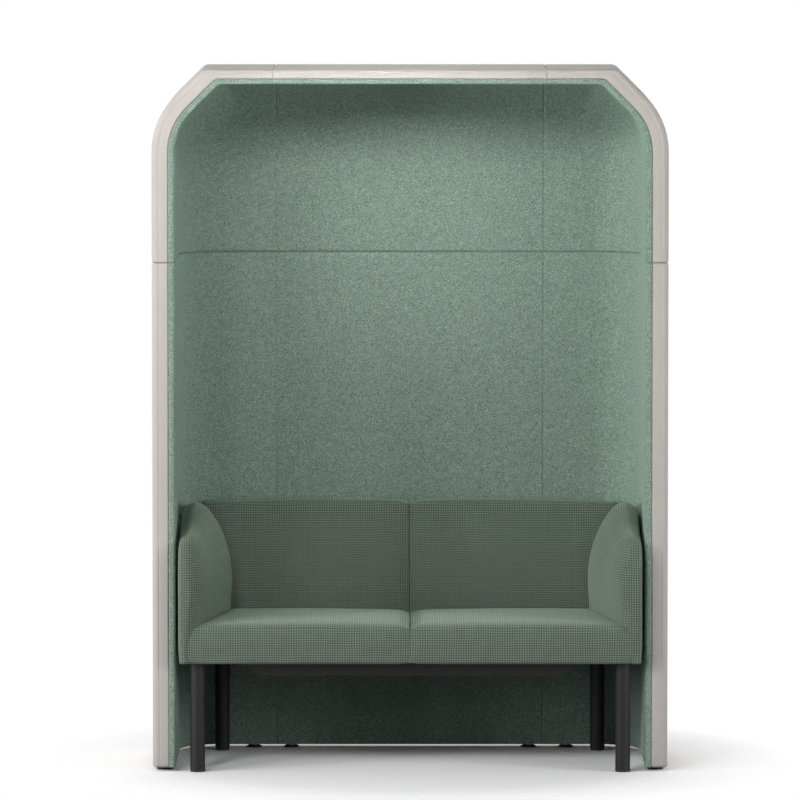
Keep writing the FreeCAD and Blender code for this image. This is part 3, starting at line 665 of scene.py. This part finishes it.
def inflated(piece):
    """Runs the cloth and keeps the result near the foam's own form; the underside stays stapled."""
    mesh = piece.data
    foam = points_of(mesh)
    set_points(mesh, foam - normals_of(mesh) * SHRINK)
    cloth = piece.modifiers.new("cover", "CLOTH")
    cloth.settings.quality = 3
    cloth.settings.mass = 0.3
    cloth.settings.tension_stiffness = 12
    cloth.settings.compression_stiffness = 12
    cloth.settings.bending_stiffness = 0.6
    cloth.settings.use_pressure = True
    cloth.settings.uniform_pressure_force = PRESSURE
    cloth.settings.effector_weights.gravity = 0
    cloth.point_cache.frame_start = 1
    cloth.point_cache.frame_end = SIM_FRAMES
    for moment in range(1, SIM_FRAMES + 1):
        bpy.context.scene.frame_set(moment)
    graph = bpy.context.evaluated_depsgraph_get()
    move = points_of(piece.evaluated_get(graph).data) - foam
    piece.modifiers.clear()
    bpy.context.scene.frame_set(1)
    length = np.linalg.norm(move, axis=1, keepdims=True)
    print(f"{piece.name}: cloth up to {length.max() * 1000:.1f} mm from the foam before the cap")
    move *= np.minimum(1.0, CAP / np.maximum(length, TINY))
    free = np.clip((foam[:, 2:] - foam[:, 2].min()) / STAPLE_BAND, 0, 1)
    set_points(mesh, foam + move * free)
    return piece


def eased(piece, passes):
    """Evens out the squares' steps and adds one subdivision."""
    ease = piece.modifiers.new("ease", "SMOOTH")
    ease.factor = 0.5
    ease.iterations = passes
    finer = piece.modifiers.new("finer", "SUBSURF")
    finer.levels = 1
    finer.render_levels = 1
    return applied(piece)


print("the cloth runs", SIM_FRAMES, "frames and stays within", mm(CAP), "mm of the foam")

# %% [markdown]
# ## Settling the covers against each other
# On the real sofa the two halves press together in the middle and lean on the arms, so no gap shows.
# Close to the middle seam the cover is drawn in by its stitching, which rolls the cloth towards the seam.
# Simulating all pads together would do this too, but takes long. Moving the points by rules is exact.

# %% Settle a cover against its neighbours
SEAM_DRAW = {"seat_cushion": 0.005, "back_cushion": 0.007, "arm_pad": 0.0}
SEAM_REACH = 0.018
TOP_LIFT = {"seat_cushion": 0.0, "back_cushion": 0.014, "arm_pad": 0.012}
MIDDLE_LIFT = 0.35
MIDDLE = 0.0002
PRESS_REACH = 0.014
PRESS_BELOW = 0.012
PRESS_HEIGHT = 0.06
PRESS_BLEND = 0.03
PRESS_FLAT = 0.6
ARM_LAP = {"seat_cushion": 0.014, "back_cushion": 0.018}


def settled(piece, kind):
    """Draws in the middle seam, levels the top and presses the cover against its neighbours."""
    mesh = piece.data
    points = points_of(mesh)
    draw = SEAM_DRAW[kind] * np.exp(-(points[:, :1] / SEAM_REACH) ** 2)
    sideways = np.abs(normals_of(mesh)[:, :1])
    points -= normals_of(mesh) * draw * (1 - sideways)
    low, high = points.min(axis=0), points.max(axis=0)
    upper = np.clip((points[:, 2] - low[2]) / (high[2] - low[2]) * 2 - 1, 0, 1)
    if kind == "back_cushion":
        middle = (low[0] + high[0]) / 2
        out = (points[:, 0] - middle) / (high[0] - middle)
        lift = np.where(out < 0, 1.0, MIDDLE_LIFT)
        points[:, 2] += TOP_LIFT[kind] * upper * upper * np.clip(out, -1, 1) ** 2 * lift
    else:
        points[:, 2] += TOP_LIFT[kind] * upper * upper
    if kind != "arm_pad":
        cad_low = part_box(f"{kind}_left")[0].x - ARM_LAP[kind]
        share = (points[:, 0] - low[0]) / (high[0] - low[0])
        points[:, 0] = cad_low + share * (-MIDDLE - cad_low)
        low_down = np.clip((SEAT_UNDERSIDE + PRESS_HEIGHT - points[:, 2]) / PRESS_BLEND, 0, 1)
        reach = PRESS_REACH + PRESS_BELOW * low_down
        close = np.clip((points[:, 0] + reach) / (reach * PRESS_FLAT), 0, 1)
        points[:, 0] += (-MIDDLE - points[:, 0]) * close * close * (3 - 2 * close)
    set_points(mesh, points)
    return piece


print("the middle seam is drawn in, mm:", {kind: mm(draw) for kind, draw in SEAM_DRAW.items()})

# %% Open the underside for the frame
POCKET_ROOM = 0.001
FRONT_HEM = 0.013
frame_low, frame_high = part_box("seat_frame")


def pocketed(piece):
    """Opens the underside where the seat frame sits, by folding the cover up to the frame's top."""
    points = points_of(piece.data)
    within = (points[:, 0] > frame_low.x - POCKET_ROOM) & (points[:, 0] < frame_high.x + POCKET_ROOM)
    within &= (points[:, 1] > frame_low.y + FRONT_HEM) & (points[:, 1] < frame_high.y + POCKET_ROOM)
    within &= points[:, 2] < FRAME_SPACE_TOP
    points[within, 2] = FRAME_SPACE_TOP
    set_points(piece.data, points)
    return piece


print("the front hem laps", mm(FRONT_HEM), "mm under the frame")

# %% Make the sofa's pads
sofa_pieces = {}
for kind, voxel in SOFT_NODES.items():
    node = f"{kind}_left"
    pad = inflated(remeshed(filled_copy(node, f"{kind}_left_cover"), voxel))
    pad = pocketed(settled(eased(pad, EASE_PASSES), kind))
    sofa_pieces[node] = pad
    twin = f"{kind}_right"
    sofa_pieces[twin] = piece_object(f"{twin}_cover", mirrored_mesh(pad.data, f"{twin}_cover"))
for node, piece in sofa_pieces.items():
    piece.data.shade_smooth()
    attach(piece, "booth")
    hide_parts(node)
    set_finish(piece, "sofa_fabric")
    print(node, "has", len(piece.data.polygons), "faces")

# %% [markdown]
# ## Webbing and dust cover
# Elastic straps run from front to back over the seat frame and carry the cushions. A thin black cloth is
# stapled under the frame, so that nobody looks into the straps from below. Both hang through a little between
# their staples. They could be simulated too, but for a millimetre of sag one skin of faces is enough:
# a face of the CAD plate is cut into a grid and lowered in its middle.

# %% Cut sheets from CAD plates
SHEET_GRID = 0.03


def sheet_from(node, side, sag, waves):
    """One face of a CAD plate as a gridded sheet that hangs through by its sag."""
    work = world_mesh(node)
    others = [face for face in work.faces if face.normal.z * side < FLAT]
    bmesh.ops.delete(work, geom=others, context="FACES")
    low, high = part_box(node)
    for axis, along in enumerate((Vector((1, 0, 0)), Vector((0, 1, 0)))):
        for k in range(1, int((high[axis] - low[axis]) / SHEET_GRID)):
            everything = work.verts[:] + work.edges[:] + work.faces[:]
            place = low + along * (k * SHEET_GRID)
            bmesh.ops.bisect_plane(work, geom=everything, plane_co=place, plane_no=along)
    for corner in work.verts:
        across = abs(math.sin(waves * math.pi * (corner.co.x - low.x) / (high.x - low.x))) if waves else 1.0
        corner.co.z -= sag * across * math.sin(math.pi * (corner.co.y - low.y) / (high.y - low.y))
    mesh = bpy.data.meshes.new(f"{node}_cloth")
    work.to_mesh(mesh)
    work.free()
    mesh.shade_smooth()
    return piece_object(f"{node}_cloth", mesh)


print("sheets are cut every", mm(SHEET_GRID), "mm")

# %% Hang the sheets
STRAP_WIDTH = 0.060
DUST_SAG = 0.0015
STRAP_SAG = 0.0012
sheets = {
    "dust_cover": sheet_from("dust_cover", -1, DUST_SAG, 2),
    "seat_webbing": sheet_from("seat_webbing", 1, STRAP_SAG, 0),
}
for node, piece in sheets.items():
    low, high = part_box(node)
    area = sum(face.area for face in piece.data.polygons)
    width, length = high.x - low.x, high.y - low.y
    if node == "seat_webbing":
        width = round(area / length / STRAP_WIDTH) * STRAP_WIDTH
    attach(piece, "booth")
    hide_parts(node)
    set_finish(piece, "dust_cloth" if node == "dust_cover" else "webbing")
    print(f"{node}: {width:.3f} by {length:.3f} m, area {area:.3f} square metres")

# %% [markdown]
# ## A small kit for finishes
# Every finish is a node tree, so it needs no picture and shows the same grain from any side.
# Object coordinates are metres in the frame, which lets a weave be written at its real pitch.
# Nodes could be made and linked one by one; a small kit keeps each finish to a few lines.
# Its noise is turned off the axes, because a flat face that lies in the noise's own grid loses its speckle.

# %% Make node trees short to write
OFF_AXIS = (0.61, 0.43, 0.27)


class NodeKit:
    """Writes into a node tree: add() makes a node, links its inputs and gives back one of its outputs."""

    def __init__(self, tree):
        self.tree = tree

    def plug(self, socket, value):
        if isinstance(value, bpy.types.NodeSocket):
            self.tree.links.new(value, socket)
        else:
            socket.default_value = value

    def add(self, kind, *inputs, output=0, **settings):
        item = self.tree.nodes.new(kind)
        for key, value in settings.items():
            setattr(item, key, value)
        for socket, value in zip(item.inputs, inputs):
            if value is not None:
                self.plug(socket, value)
        return item.outputs[output]

    def math(self, operation, *inputs):
        return self.add("ShaderNodeMath", *inputs, operation=operation)

    def coordinates(self):
        return self.add("ShaderNodeTexCoord", output="Object")

    def mapped(self, key, values):
        """Object coordinates, turned or stretched."""
        item = self.tree.nodes.new("ShaderNodeMapping")
        item.inputs[key].default_value = values
        self.plug(item.inputs["Vector"], self.coordinates())
        return item.outputs[0]

    def range(self, value, low, high, to_low, to_high):
        """A value moved from one range to another and kept inside it."""
        item = self.tree.nodes.new("ShaderNodeMapRange")
        for socket, amount in zip(item.inputs, (value, low, high, to_low, to_high)):
            self.plug(socket, amount)
        return item.outputs[0]


print("noise is turned off the axes by", [round(math.degrees(angle)) for angle in OFF_AXIS], "degrees")


# %% Draw patterns for a finish
class Finish(NodeKit):
    """A material under construction."""

    def __init__(self, name, roughness=0.8, gloss=0.1):
        self.material = bpy.data.materials.new(name)
        self.material.use_nodes = True
        super().__init__(self.material.node_tree)
        self.shader = self.tree.nodes["Principled BSDF"]
        self.shader.inputs["Roughness"].default_value = roughness
        self.shader.inputs["Specular IOR Level"].default_value = gloss

    def noise(self, scale, detail=2.0, roughness=0.5, vector=None):
        """Noise with about so many grains to the metre."""
        item = self.tree.nodes.new("ShaderNodeTexNoise")
        item.inputs["Scale"].default_value = scale
        item.inputs["Detail"].default_value = detail
        item.inputs["Roughness"].default_value = roughness
        self.plug(item.inputs["Vector"], vector or self.mapped("Rotation", OFF_AXIS))
        return item.outputs[0]

    def ramp(self, value, *stops):
        """Colours for a value, each stop a place from 0 to 1 and a colour."""
        item = self.tree.nodes.new("ShaderNodeValToRGB")
        marks = item.color_ramp.elements
        while len(marks) < len(stops):
            marks.new(0.5)
        for mark, (place, colour) in zip(marks, stops):
            mark.position = place
            mark.color = (*colour, 1.0)
        self.plug(item.inputs[0], value)
        return item.outputs[0]

    def mix(self, share, first, second, blend="MIX"):
        item = self.tree.nodes.new("ShaderNodeMix")
        item.data_type = "RGBA"
        item.blend_type = blend
        sockets = [s for s in item.inputs if s.enabled]
        for socket, value in zip(sockets, (share, first, second)):
            if isinstance(value, tuple):
                value = (*value, 1.0)
            self.plug(socket, value)
        return next(s for s in item.outputs if s.enabled)

    def shaded(self, colour, shade):
        """A colour made lighter or darker by a shade around 1."""
        grey = self.add("ShaderNodeCombineColor", shade, shade, shade)
        return self.mix(1.0, colour, grey, blend="MULTIPLY")

    def bump(self, height, distance, strength=1.0, below=None):
        """A surface raised by a height, over the bump below it."""
        item = self.tree.nodes.new("ShaderNodeBump")
        item.inputs["Strength"].default_value = strength
        item.inputs["Distance"].default_value = distance
        self.plug(item.inputs["Height"], height)
        if below is not None:
            self.plug(item.inputs["Normal"], below)
        return item.outputs[0]

    def done(self, colour, normal=None, roughness=None, **constants):
        """Plugs the patterns into the shader; constants are set on its own sockets."""
        self.plug(self.shader.inputs["Base Color"], colour)
        if normal is not None:
            self.plug(self.shader.inputs["Normal"], normal)
        if roughness is not None:
            self.plug(self.shader.inputs["Roughness"], roughness)
        for key, value in constants.items():
            self.shader.inputs[key.replace("_", " ").title()].default_value = value
        return self.material


def tone(red, green, blue, level=1.0):
    """A colour at some level of its brightness."""
    return (red * level, green * level, blue * level)


print("half of a mid grey:", tone(0.5, 0.5, 0.5, 0.5))

# %% [markdown]
# ## Felt lining
# The lining is a melange: light and dark grey-green fibres felted together, so it reads as fine speckle.
# A noise at fibre size picks between three tones, and one at clump size shades them. The fibre noise, with a
# finer one below it, also lifts the surface a little.
# Hair particles would give true fibres, but from a step away speckle and sheen look the same.

# %% Felt lining
FELT_MID = (0.217, 0.288, 0.242)
FELT_SHEEN = (0.62, 0.80, 0.70, 1.0)


def melange_felt():
    felt = Finish("melange felt", roughness=0.95)
    fibre = felt.noise(430, detail=2.0, roughness=0.6)
    clump = felt.noise(90, detail=2.0)
    speckle = felt.ramp(
        fibre, (0.36, tone(*FELT_MID, 0.44)), (0.5, tone(*FELT_MID, 1.0)), (0.64, tone(*FELT_MID, 1.78))
    )
    shade = felt.range(clump, 0.3, 0.7, 0.93, 1.07)
    colour = felt.shaded(speckle, shade)
    fuzz = felt.bump(felt.noise(650, detail=2.0), 0.0003, 0.5)
    normal = felt.bump(fibre, 0.0009, 0.55, below=fuzz)
    return felt.done(colour, normal, sheen_weight=0.45, sheen_roughness=0.55, sheen_tint=FELT_SHEEN)


print("felt, mid tone:", FELT_MID)

# %% [markdown]
# ## Cover cloth
# The outside is a plain warm grey-beige wool cloth, tight and fine. Its twill lines lie under two millimetres
# apart, so they show only close up; a slow noise stands for the uneven dye of wool. A picture of cloth would
# need to be unwrapped over every module, while formulas in the frame's metres run on across the seams.

# %% Cover cloth
COVER_MID = (0.50, 0.468, 0.438)
COVER_THREAD = 0.0016


def wool_cover():
    wool = Finish("wool cover cloth", roughness=0.9)
    spot = wool.coordinates()
    x, y, z = (wool.add("ShaderNodeSeparateXYZ", spot, output=k) for k in range(3))
    turn = 2 * math.pi / COVER_THREAD
    rising = wool.math("ADD", wool.math("ADD", x, y), z)
    falling = wool.math("SUBTRACT", wool.math("SUBTRACT", x, y), z)
    lines = [wool.math("SINE", wool.math("MULTIPLY", way, turn)) for way in (rising, falling)]
    twill = wool.math("MAXIMUM", *lines)
    heather = wool.noise(420, detail=3.0, roughness=0.6)
    dye = wool.noise(6, detail=2.0)
    base = wool.ramp(
        heather, (0.3, tone(*COVER_MID, 0.93)), (0.5, tone(*COVER_MID, 1.0)), (0.72, tone(*COVER_MID, 1.06))
    )
    shade = wool.range(dye, 0.3, 0.7, 0.97, 1.03)
    colour = wool.shaded(base, shade)
    normal = wool.bump(twill, 0.0001, 0.1, below=wool.bump(heather, 0.00015, 0.15))
    return wool.done(colour, normal, sheen_weight=0.1, sheen_roughness=0.5)


print("cover cloth, twill every", mm(COVER_THREAD), "mm")

# %% [markdown]
# ## Sofa check weave
# The sofa's cloth is a small waffle check: light threads cross every seven millimetres or so and
# leave darker, deeper squares between them. Cosines along the three axes draw the threads, and the surface's
# own direction picks which two of them lie in the cloth there. A checker texture would give hard squares
# without thread; the cosines round each thread and also lift it as bump.

# %% Sofa check weave
CHECK_PITCH = 0.0072
CHECK_SWAY = 0.006
CHECK_LIGHT = (0.172, 0.214, 0.172)
CHECK_DARK = (0.014, 0.020, 0.014)
CHECK_SHEEN = (0.66, 0.80, 0.66, 1.0)
FACE_BLEND = 6.0


def check_weave():
    weave = Finish("check weave", roughness=0.92)
    spot = weave.coordinates()
    sway = weave.noise(9, detail=1.0)
    pull = weave.add("ShaderNodeVectorMath", sway, None, None, CHECK_SWAY, operation="SCALE")
    bent = weave.add("ShaderNodeVectorMath", spot, pull, operation="ADD")
    waves = []
    for k in range(3):
        along = weave.add("ShaderNodeSeparateXYZ", bent, output=k)
        swing = weave.math("COSINE", weave.math("MULTIPLY", along, 2 * math.pi / CHECK_PITCH))
        waves.append(weave.math("MULTIPLY_ADD", swing, 0.5, 0.5))
    facing = weave.add("ShaderNodeTexCoord", output="Normal")
    shares = []
    for k in range(3):
        part = weave.add("ShaderNodeSeparateXYZ", facing, output=k)
        shares.append(weave.math("POWER", weave.math("ABSOLUTE", part), FACE_BLEND))
    total = weave.math("ADD", weave.math("ADD", shares[0], shares[1]), shares[2])
    lattice = None
    for k, share in enumerate(shares):
        first, second = (waves[m] for m in range(3) if m != k)
        threads = weave.math("MAXIMUM", first, second)
        part = weave.math("MULTIPLY", threads, weave.math("DIVIDE", share, total))
        lattice = part if lattice is None else weave.math("ADD", lattice, part)
    yarn = weave.noise(520, detail=2.0, roughness=0.6)
    lifted = weave.math("ADD", lattice, weave.range(yarn, 0.3, 0.7, -0.14, 0.14))
    check = weave.ramp(lifted, (0.3, CHECK_DARK), (0.78, CHECK_LIGHT))
    mottle = weave.range(weave.noise(38, detail=2.0), 0.3, 0.7, 0.94, 1.06)
    colour = weave.shaded(check, mottle)
    normal = weave.bump(lattice, 0.0009, 0.7, below=weave.bump(yarn, 0.0003, 0.4))
    return weave.done(colour, normal, sheen_weight=0.5, sheen_roughness=0.5, sheen_tint=CHECK_SHEEN)


print("sofa cloth, a thread every", mm(CHECK_PITCH), "mm")

# %% [markdown]
# ## Black legs and feet
# The legs are steel with a black powder coat, which has a faint orange-peel. The discs of the feet,
# the glides in the legs and the spacers are matt moulded plastic with a fine grain. One plain black would
# do from afar, but noise in tone and roughness breaks up the shine as handling does.

# %% Black legs and feet
COAT_DARK = (0.008, 0.008, 0.008)
COAT_WORN = (0.014, 0.014, 0.014)
PLASTIC_DARK = (0.011, 0.011, 0.012)
PLASTIC_SCUFFED = (0.024, 0.024, 0.024)


def powder_coat():
    coat = Finish("black powder coat", gloss=0.25)
    peel = coat.noise(900, detail=2.0)
    wear = coat.noise(14, detail=4.0)
    colour = coat.ramp(wear, (0.3, COAT_DARK), (0.75, COAT_WORN))
    return coat.done(colour, coat.bump(peel, 0.0002, 0.25), coat.range(wear, 0.3, 0.7, 0.55, 0.66))


def moulded_plastic():
    plastic = Finish("matt black plastic", gloss=0.3)
    spark = plastic.noise(1400, detail=1.0)
    scuff = plastic.noise(30, detail=4.0)
    colour = plastic.ramp(scuff, (0.35, PLASTIC_DARK), (0.8, PLASTIC_SCUFFED))
    return plastic.done(colour, plastic.bump(spark, 0.0002, 0.3), plastic.range(scuff, 0.3, 0.7, 0.5, 0.64))


print("black coat from", COAT_DARK[0], "to", COAT_WORN[0], "and plastic from", PLASTIC_DARK[0])

# %% [markdown]
# ## Boards and beam
# The beam under the seat is beech with a black stain; the boards inside the walls and the sofa are raw.
# A Wave texture gives rings too, but they look ruled. Noise drawn out along the board gives a calmer grain,
# and a finer one gives the pores.

# %% Boards and beam
ALONG_GRAIN = (0.06, 1.0, 1.0)
ALONG_PORES = (0.04, 1.0, 1.0)


def wood_grain(name, light, dark, rough):
    """Wood in two tones; its roughness starts at rough and rises with the grain."""
    wood = Finish(name, gloss=0.25)
    grain = wood.noise(60, detail=5.0, roughness=0.65, vector=wood.mapped("Scale", ALONG_GRAIN))
    pores = wood.noise(420, detail=2.0, vector=wood.mapped("Scale", ALONG_PORES))
    rings = wood.ramp(grain, (0.3, dark), (0.7, light))
    colour = wood.mix(wood.range(pores, 0.55, 0.7, 0.0, 0.5), rings, dark)
    return wood.done(colour, wood.bump(pores, 0.0003, 0.35), wood.range(grain, 0.3, 0.7, rough, rough + 0.12))


print("the grain is drawn out", round(1 / ALONG_GRAIN[0]), "times along the board")

# %% [markdown]
# ## Zinc, dust cloth and webbing
# Stems, bolts, screws, studs and inserts are steel with bright zinc plate; close up it has a spangle of small
# crystals, which a Voronoi texture draws. Dust cloth and webbing are plain weaves: two sines crossed.
# Most of this is hidden, but the parts may be looked at one by one, so none is left as one flat colour.

# %% Zinc, dust cloth and webbing
ZINC_LIGHT = (0.66, 0.67, 0.68)
ZINC_DARK = (0.5, 0.51, 0.53)
SPANGLES = 260
ROUND_STEM = (1.0, 1.0, 6.0)


def zinc_plate():
    zinc = Finish("bright zinc plate", gloss=0.5)
    spangle = zinc.tree.nodes.new("ShaderNodeTexVoronoi")
    spangle.inputs["Scale"].default_value = SPANGLES
    zinc.plug(spangle.inputs["Vector"], zinc.coordinates())
    turning = zinc.noise(500, detail=2.0, vector=zinc.mapped("Scale", ROUND_STEM))
    colour = zinc.ramp(spangle.outputs[0], (0.0, ZINC_LIGHT), (0.8, ZINC_DARK))
    shine = zinc.range(turning, 0.3, 0.7, 0.24, 0.38)
    return zinc.done(colour, zinc.bump(turning, 0.0001, 0.3), shine, metallic=1.0)


def plain_cloth(name, light, dark, pitch):
    """A plain weave with its threads at some pitch."""
    cloth = Finish(name, roughness=0.95)
    spot = cloth.coordinates()
    waves = []
    for k in range(2):
        along = cloth.add("ShaderNodeSeparateXYZ", spot, output=k)
        waves.append(cloth.math("SINE", cloth.math("MULTIPLY", along, 2 * math.pi / pitch)))
    weave = cloth.math("MULTIPLY", waves[0], waves[1])
    fibre = cloth.noise(300, detail=3.0)
    threads = cloth.range(weave, -1.0, 1.0, 0.2, 0.8)
    shade = cloth.math("ADD", threads, cloth.range(fibre, 0.3, 0.7, -0.2, 0.2))
    return cloth.done(cloth.ramp(shade, (0.1, dark), (0.9, light)), cloth.bump(weave, 0.0003, 0.5))


print("zinc has", SPANGLES, "spangles to the metre")

# %% [markdown]
# ## Putting the finishes on
# The record names a slot for every node, so one table from slot to finish serves the CAD nodes and the
# rebuilt pads alike. Materials could be given piece by piece, but a slot is then easily forgotten.

# %% Put the finishes on
FINISHES = {
    "outer_fabric": wool_cover(),
    "lining_felt": melange_felt(),
    "sofa_fabric": check_weave(),
    "core_board": wood_grain("raw board", (0.60, 0.47, 0.33), (0.45, 0.34, 0.22), 0.7),
    "plywood": wood_grain("birch plywood", (0.66, 0.51, 0.34), (0.52, 0.38, 0.23), 0.6),
    "black_steel": powder_coat(),
    "black_plastic": moulded_plastic(),
    "zinc_steel": zinc_plate(),
    "black_wood": wood_grain("black stained beech", (0.020, 0.020, 0.018), (0.011, 0.011, 0.010), 0.5),
    "dust_cloth": plain_cloth("non-woven dust cloth", (0.022, 0.022, 0.022), (0.010, 0.010, 0.010), 0.002),
    "webbing": plain_cloth("elastic webbing", (0.16, 0.13, 0.10), (0.07, 0.06, 0.05), 0.0025),
}
slot_of_node = {part["node"]: part["material_slot"] for part in frame["record"]["subparts"]}
for name, item in frame["nodes"].items():
    item.data.materials.clear()
    item.data.materials.append(FINISHES[slot_of_node[name]])
soft_pieces = [*wall_pieces.values(), *sofa_pieces.values(), *sheets.values()]
for piece in soft_pieces:
    piece.data.materials.clear()
    piece.data.materials.append(FINISHES[piece["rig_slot"]])
print(len(FINISHES), "finishes on", len(frame["nodes"]), "nodes and", len(soft_pieces), "soft pieces")

# %% [markdown]
# ## Camera
# The picture was taken from far off, a little above the roof, with a long lens, so upright edges stay so.
# An orthographic camera would come close, but the walls' inner faces show only in perspective.

# %% Camera
CAMERA_PLACE = (-0.0302, -23.3585, 2.8867)
CAMERA_DIP = math.radians(4.409)
CAMERA_ANGLE = math.radians(5.866)
camera = bpy.data.objects.new("camera", bpy.data.cameras.new("camera"))
bpy.context.scene.collection.objects.link(camera)
camera.location = CAMERA_PLACE
camera.rotation_euler = (math.pi / 2 - CAMERA_DIP, 0, 0)
camera.data.angle = CAMERA_ANGLE
camera.data.clip_end = 100
bpy.context.scene.camera = camera
print(f"lens {camera.data.lens:.0f} mm")

# %% [markdown]
# ## Studio
# A pale floor keeps the soft shadow under the booth and fades into a white backdrop. The key lamps hang in
# front, to the left and above, so the roof's shadow falls on the back wall. A spot and a narrow beam light
# the wall below that shadow, and lamps at both sides light the inner faces. A bright sky alone would be
# simpler, but the inside of the booth would come out flat.

# %% Floor
FLOOR_SIZE = 40.0
FLOOR_SEEN = (1.3, 1.3, 1.3)
FLOOR_BOUNCE = (0.22, 0.22, 0.22)
FADE_START = 0.72
FADE_END = 1.15


def looked_at(kit):
    """1 for rays that look at the backdrop: straight, in a mirror or through glass."""
    kinds = ("Is Camera Ray", "Is Glossy Ray", "Is Transmission Ray")
    eye, mirror, glass = (kit.add("ShaderNodeLightPath", output=kind) for kind in kinds)
    return kit.math("MAXIMUM", kit.math("MAXIMUM", eye, mirror), glass)


def studio_floor():
    """A floor that is pale to the eye, throws little light back and fades into the white backdrop."""
    half = FLOOR_SIZE / 2
    mesh = bpy.data.meshes.new("floor")
    corners = [(-half, -half, 0), (half, -half, 0), (half, half, 0), (-half, half, 0)]
    mesh.from_pydata(corners, [], [(0, 1, 2, 3)])
    floor = piece_object("floor", mesh)
    paint = Finish("pale floor")
    tree = paint.tree
    cloud = paint.noise(0.6, detail=2.0)
    white = paint.ramp(cloud, (0.3, tone(*FLOOR_SEEN, 0.995)), (0.7, FLOOR_SEEN))
    pale = paint.add("ShaderNodeBsdfDiffuse", white)
    dim = paint.add("ShaderNodeBsdfDiffuse", (*FLOOR_BOUNCE, 1.0))
    clear = paint.add("ShaderNodeBsdfTransparent")
    reach = paint.add("ShaderNodeVectorMath", paint.coordinates(), output="Value", operation="LENGTH")
    far = paint.range(reach, FADE_START, FADE_END, 0.0, 1.0)
    seen = paint.add("ShaderNodeMixShader", far, pale, clear)
    both = paint.add("ShaderNodeMixShader", looked_at(paint), dim, seen)
    paint.plug(tree.nodes["Material Output"].inputs["Surface"], both)
    tree.nodes.remove(paint.shader)
    floor.data.materials.append(paint.material)
    floor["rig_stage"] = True


studio_floor()
print("the floor fades out from", FADE_START, "to", FADE_END, "m from the middle")

# %% Sky
SKY_FRONT = 0.02
SKY_REAR = 0.75


def studio_sky(front, rear):
    """White to the eye; as a light it is set apart in front and behind."""
    world = bpy.data.worlds.new("studio")
    bpy.context.scene.world = world
    world.use_nodes = True
    sky = NodeKit(world.node_tree)
    backdrop = sky.tree.nodes["Background"]
    backdrop.inputs["Color"].default_value = (1, 1, 1, 1)
    way = sky.add("ShaderNodeTexCoord", output="Generated")
    depth = sky.add("ShaderNodeSeparateXYZ", way, output=1)
    ahead = sky.range(depth, 0.0, -1.0, 0.0, front)
    behind = sky.range(depth, 0.0, 1.0, 0.0, rear)
    light = sky.math("ADD", ahead, behind)
    strength = sky.add("ShaderNodeMix", looked_at(sky), None, light, 1.0)
    sky.plug(backdrop.inputs["Strength"], strength)


studio_sky(SKY_FRONT, SKY_REAR)
print("the sky lights with", SKY_FRONT, "in front and", SKY_REAR, "behind")


# %% Lamps
def lamp(name, place, aim, size, power, spread=180):
    """A square lamp at a place, turned towards its aim; a small spread in degrees makes a beam."""
    light = bpy.data.objects.new(name, bpy.data.lights.new(name, "AREA"))
    bpy.context.scene.collection.objects.link(light)
    light.data.shape = "RECTANGLE"
    light.data.size = size
    light.data.size_y = size
    light.data.energy = power
    light.data.spread = math.radians(spread)
    light.location = place
    light.rotation_euler = (Vector(aim) - Vector(place)).to_track_quat("-Z", "Y").to_euler()


LAMPS = {
    "key from the left": ((-3.2, -3.4, 2.6), (0, 0.1, 1.2), 1.0, 48),
    "far key": ((-2.0, -5.6, 3.95), (0, 0.1, 1.2), 1.1, 80),
    "spot under the roof": ((-0.5, -1.9, 2.60), (0.1, 0.3, 1.75), 0.4, 3.2, 75),
    "beam on the back wall": ((-0.3, -5.0, 2.90), (0.03, 0.3, 1.58), 0.4, 0.36, 12),
    "fill from the right": ((3.2, -3.4, 1.6), (0, 0.1, 1.0), 1.0, 16),
    "left side": ((-4.5, -2.3, 1.1), (-0.3, -0.2, 1.0), 1.5, 145),
    "right side": ((4.5, -2.3, 1.1), (0.3, -0.2, 1.0), 1.5, 105),
    "low fill": ((0, -8.0, 1.5), (0, 0.1, 0.8), 3.0, 20),
    "overhead": ((0, -0.6, 5.0), (0, 0, 1.0), 3.0, 17),
    "behind": ((0, 3.0, 4.0), (0, 0, 0.5), 2.0, 32),
}
for name, values in LAMPS.items():
    lamp(name, *values)
bpy.context.scene.view_settings.view_transform = "Standard"
print(len(LAMPS), "lamps")

# %% [markdown]
# The upholstery may stand proud of the CAD by a few millimetres, and no more. A look at the picture wouldn't
# show that, so both boxes are measured and written down.

# %% Write both boxes
looks_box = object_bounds()
gaps = [round((a - b) * 1000, 1) for p, q in zip(looks_box, cad_box) for a, b in zip(p, q)]
print("looks minus CAD, mm:", gaps)
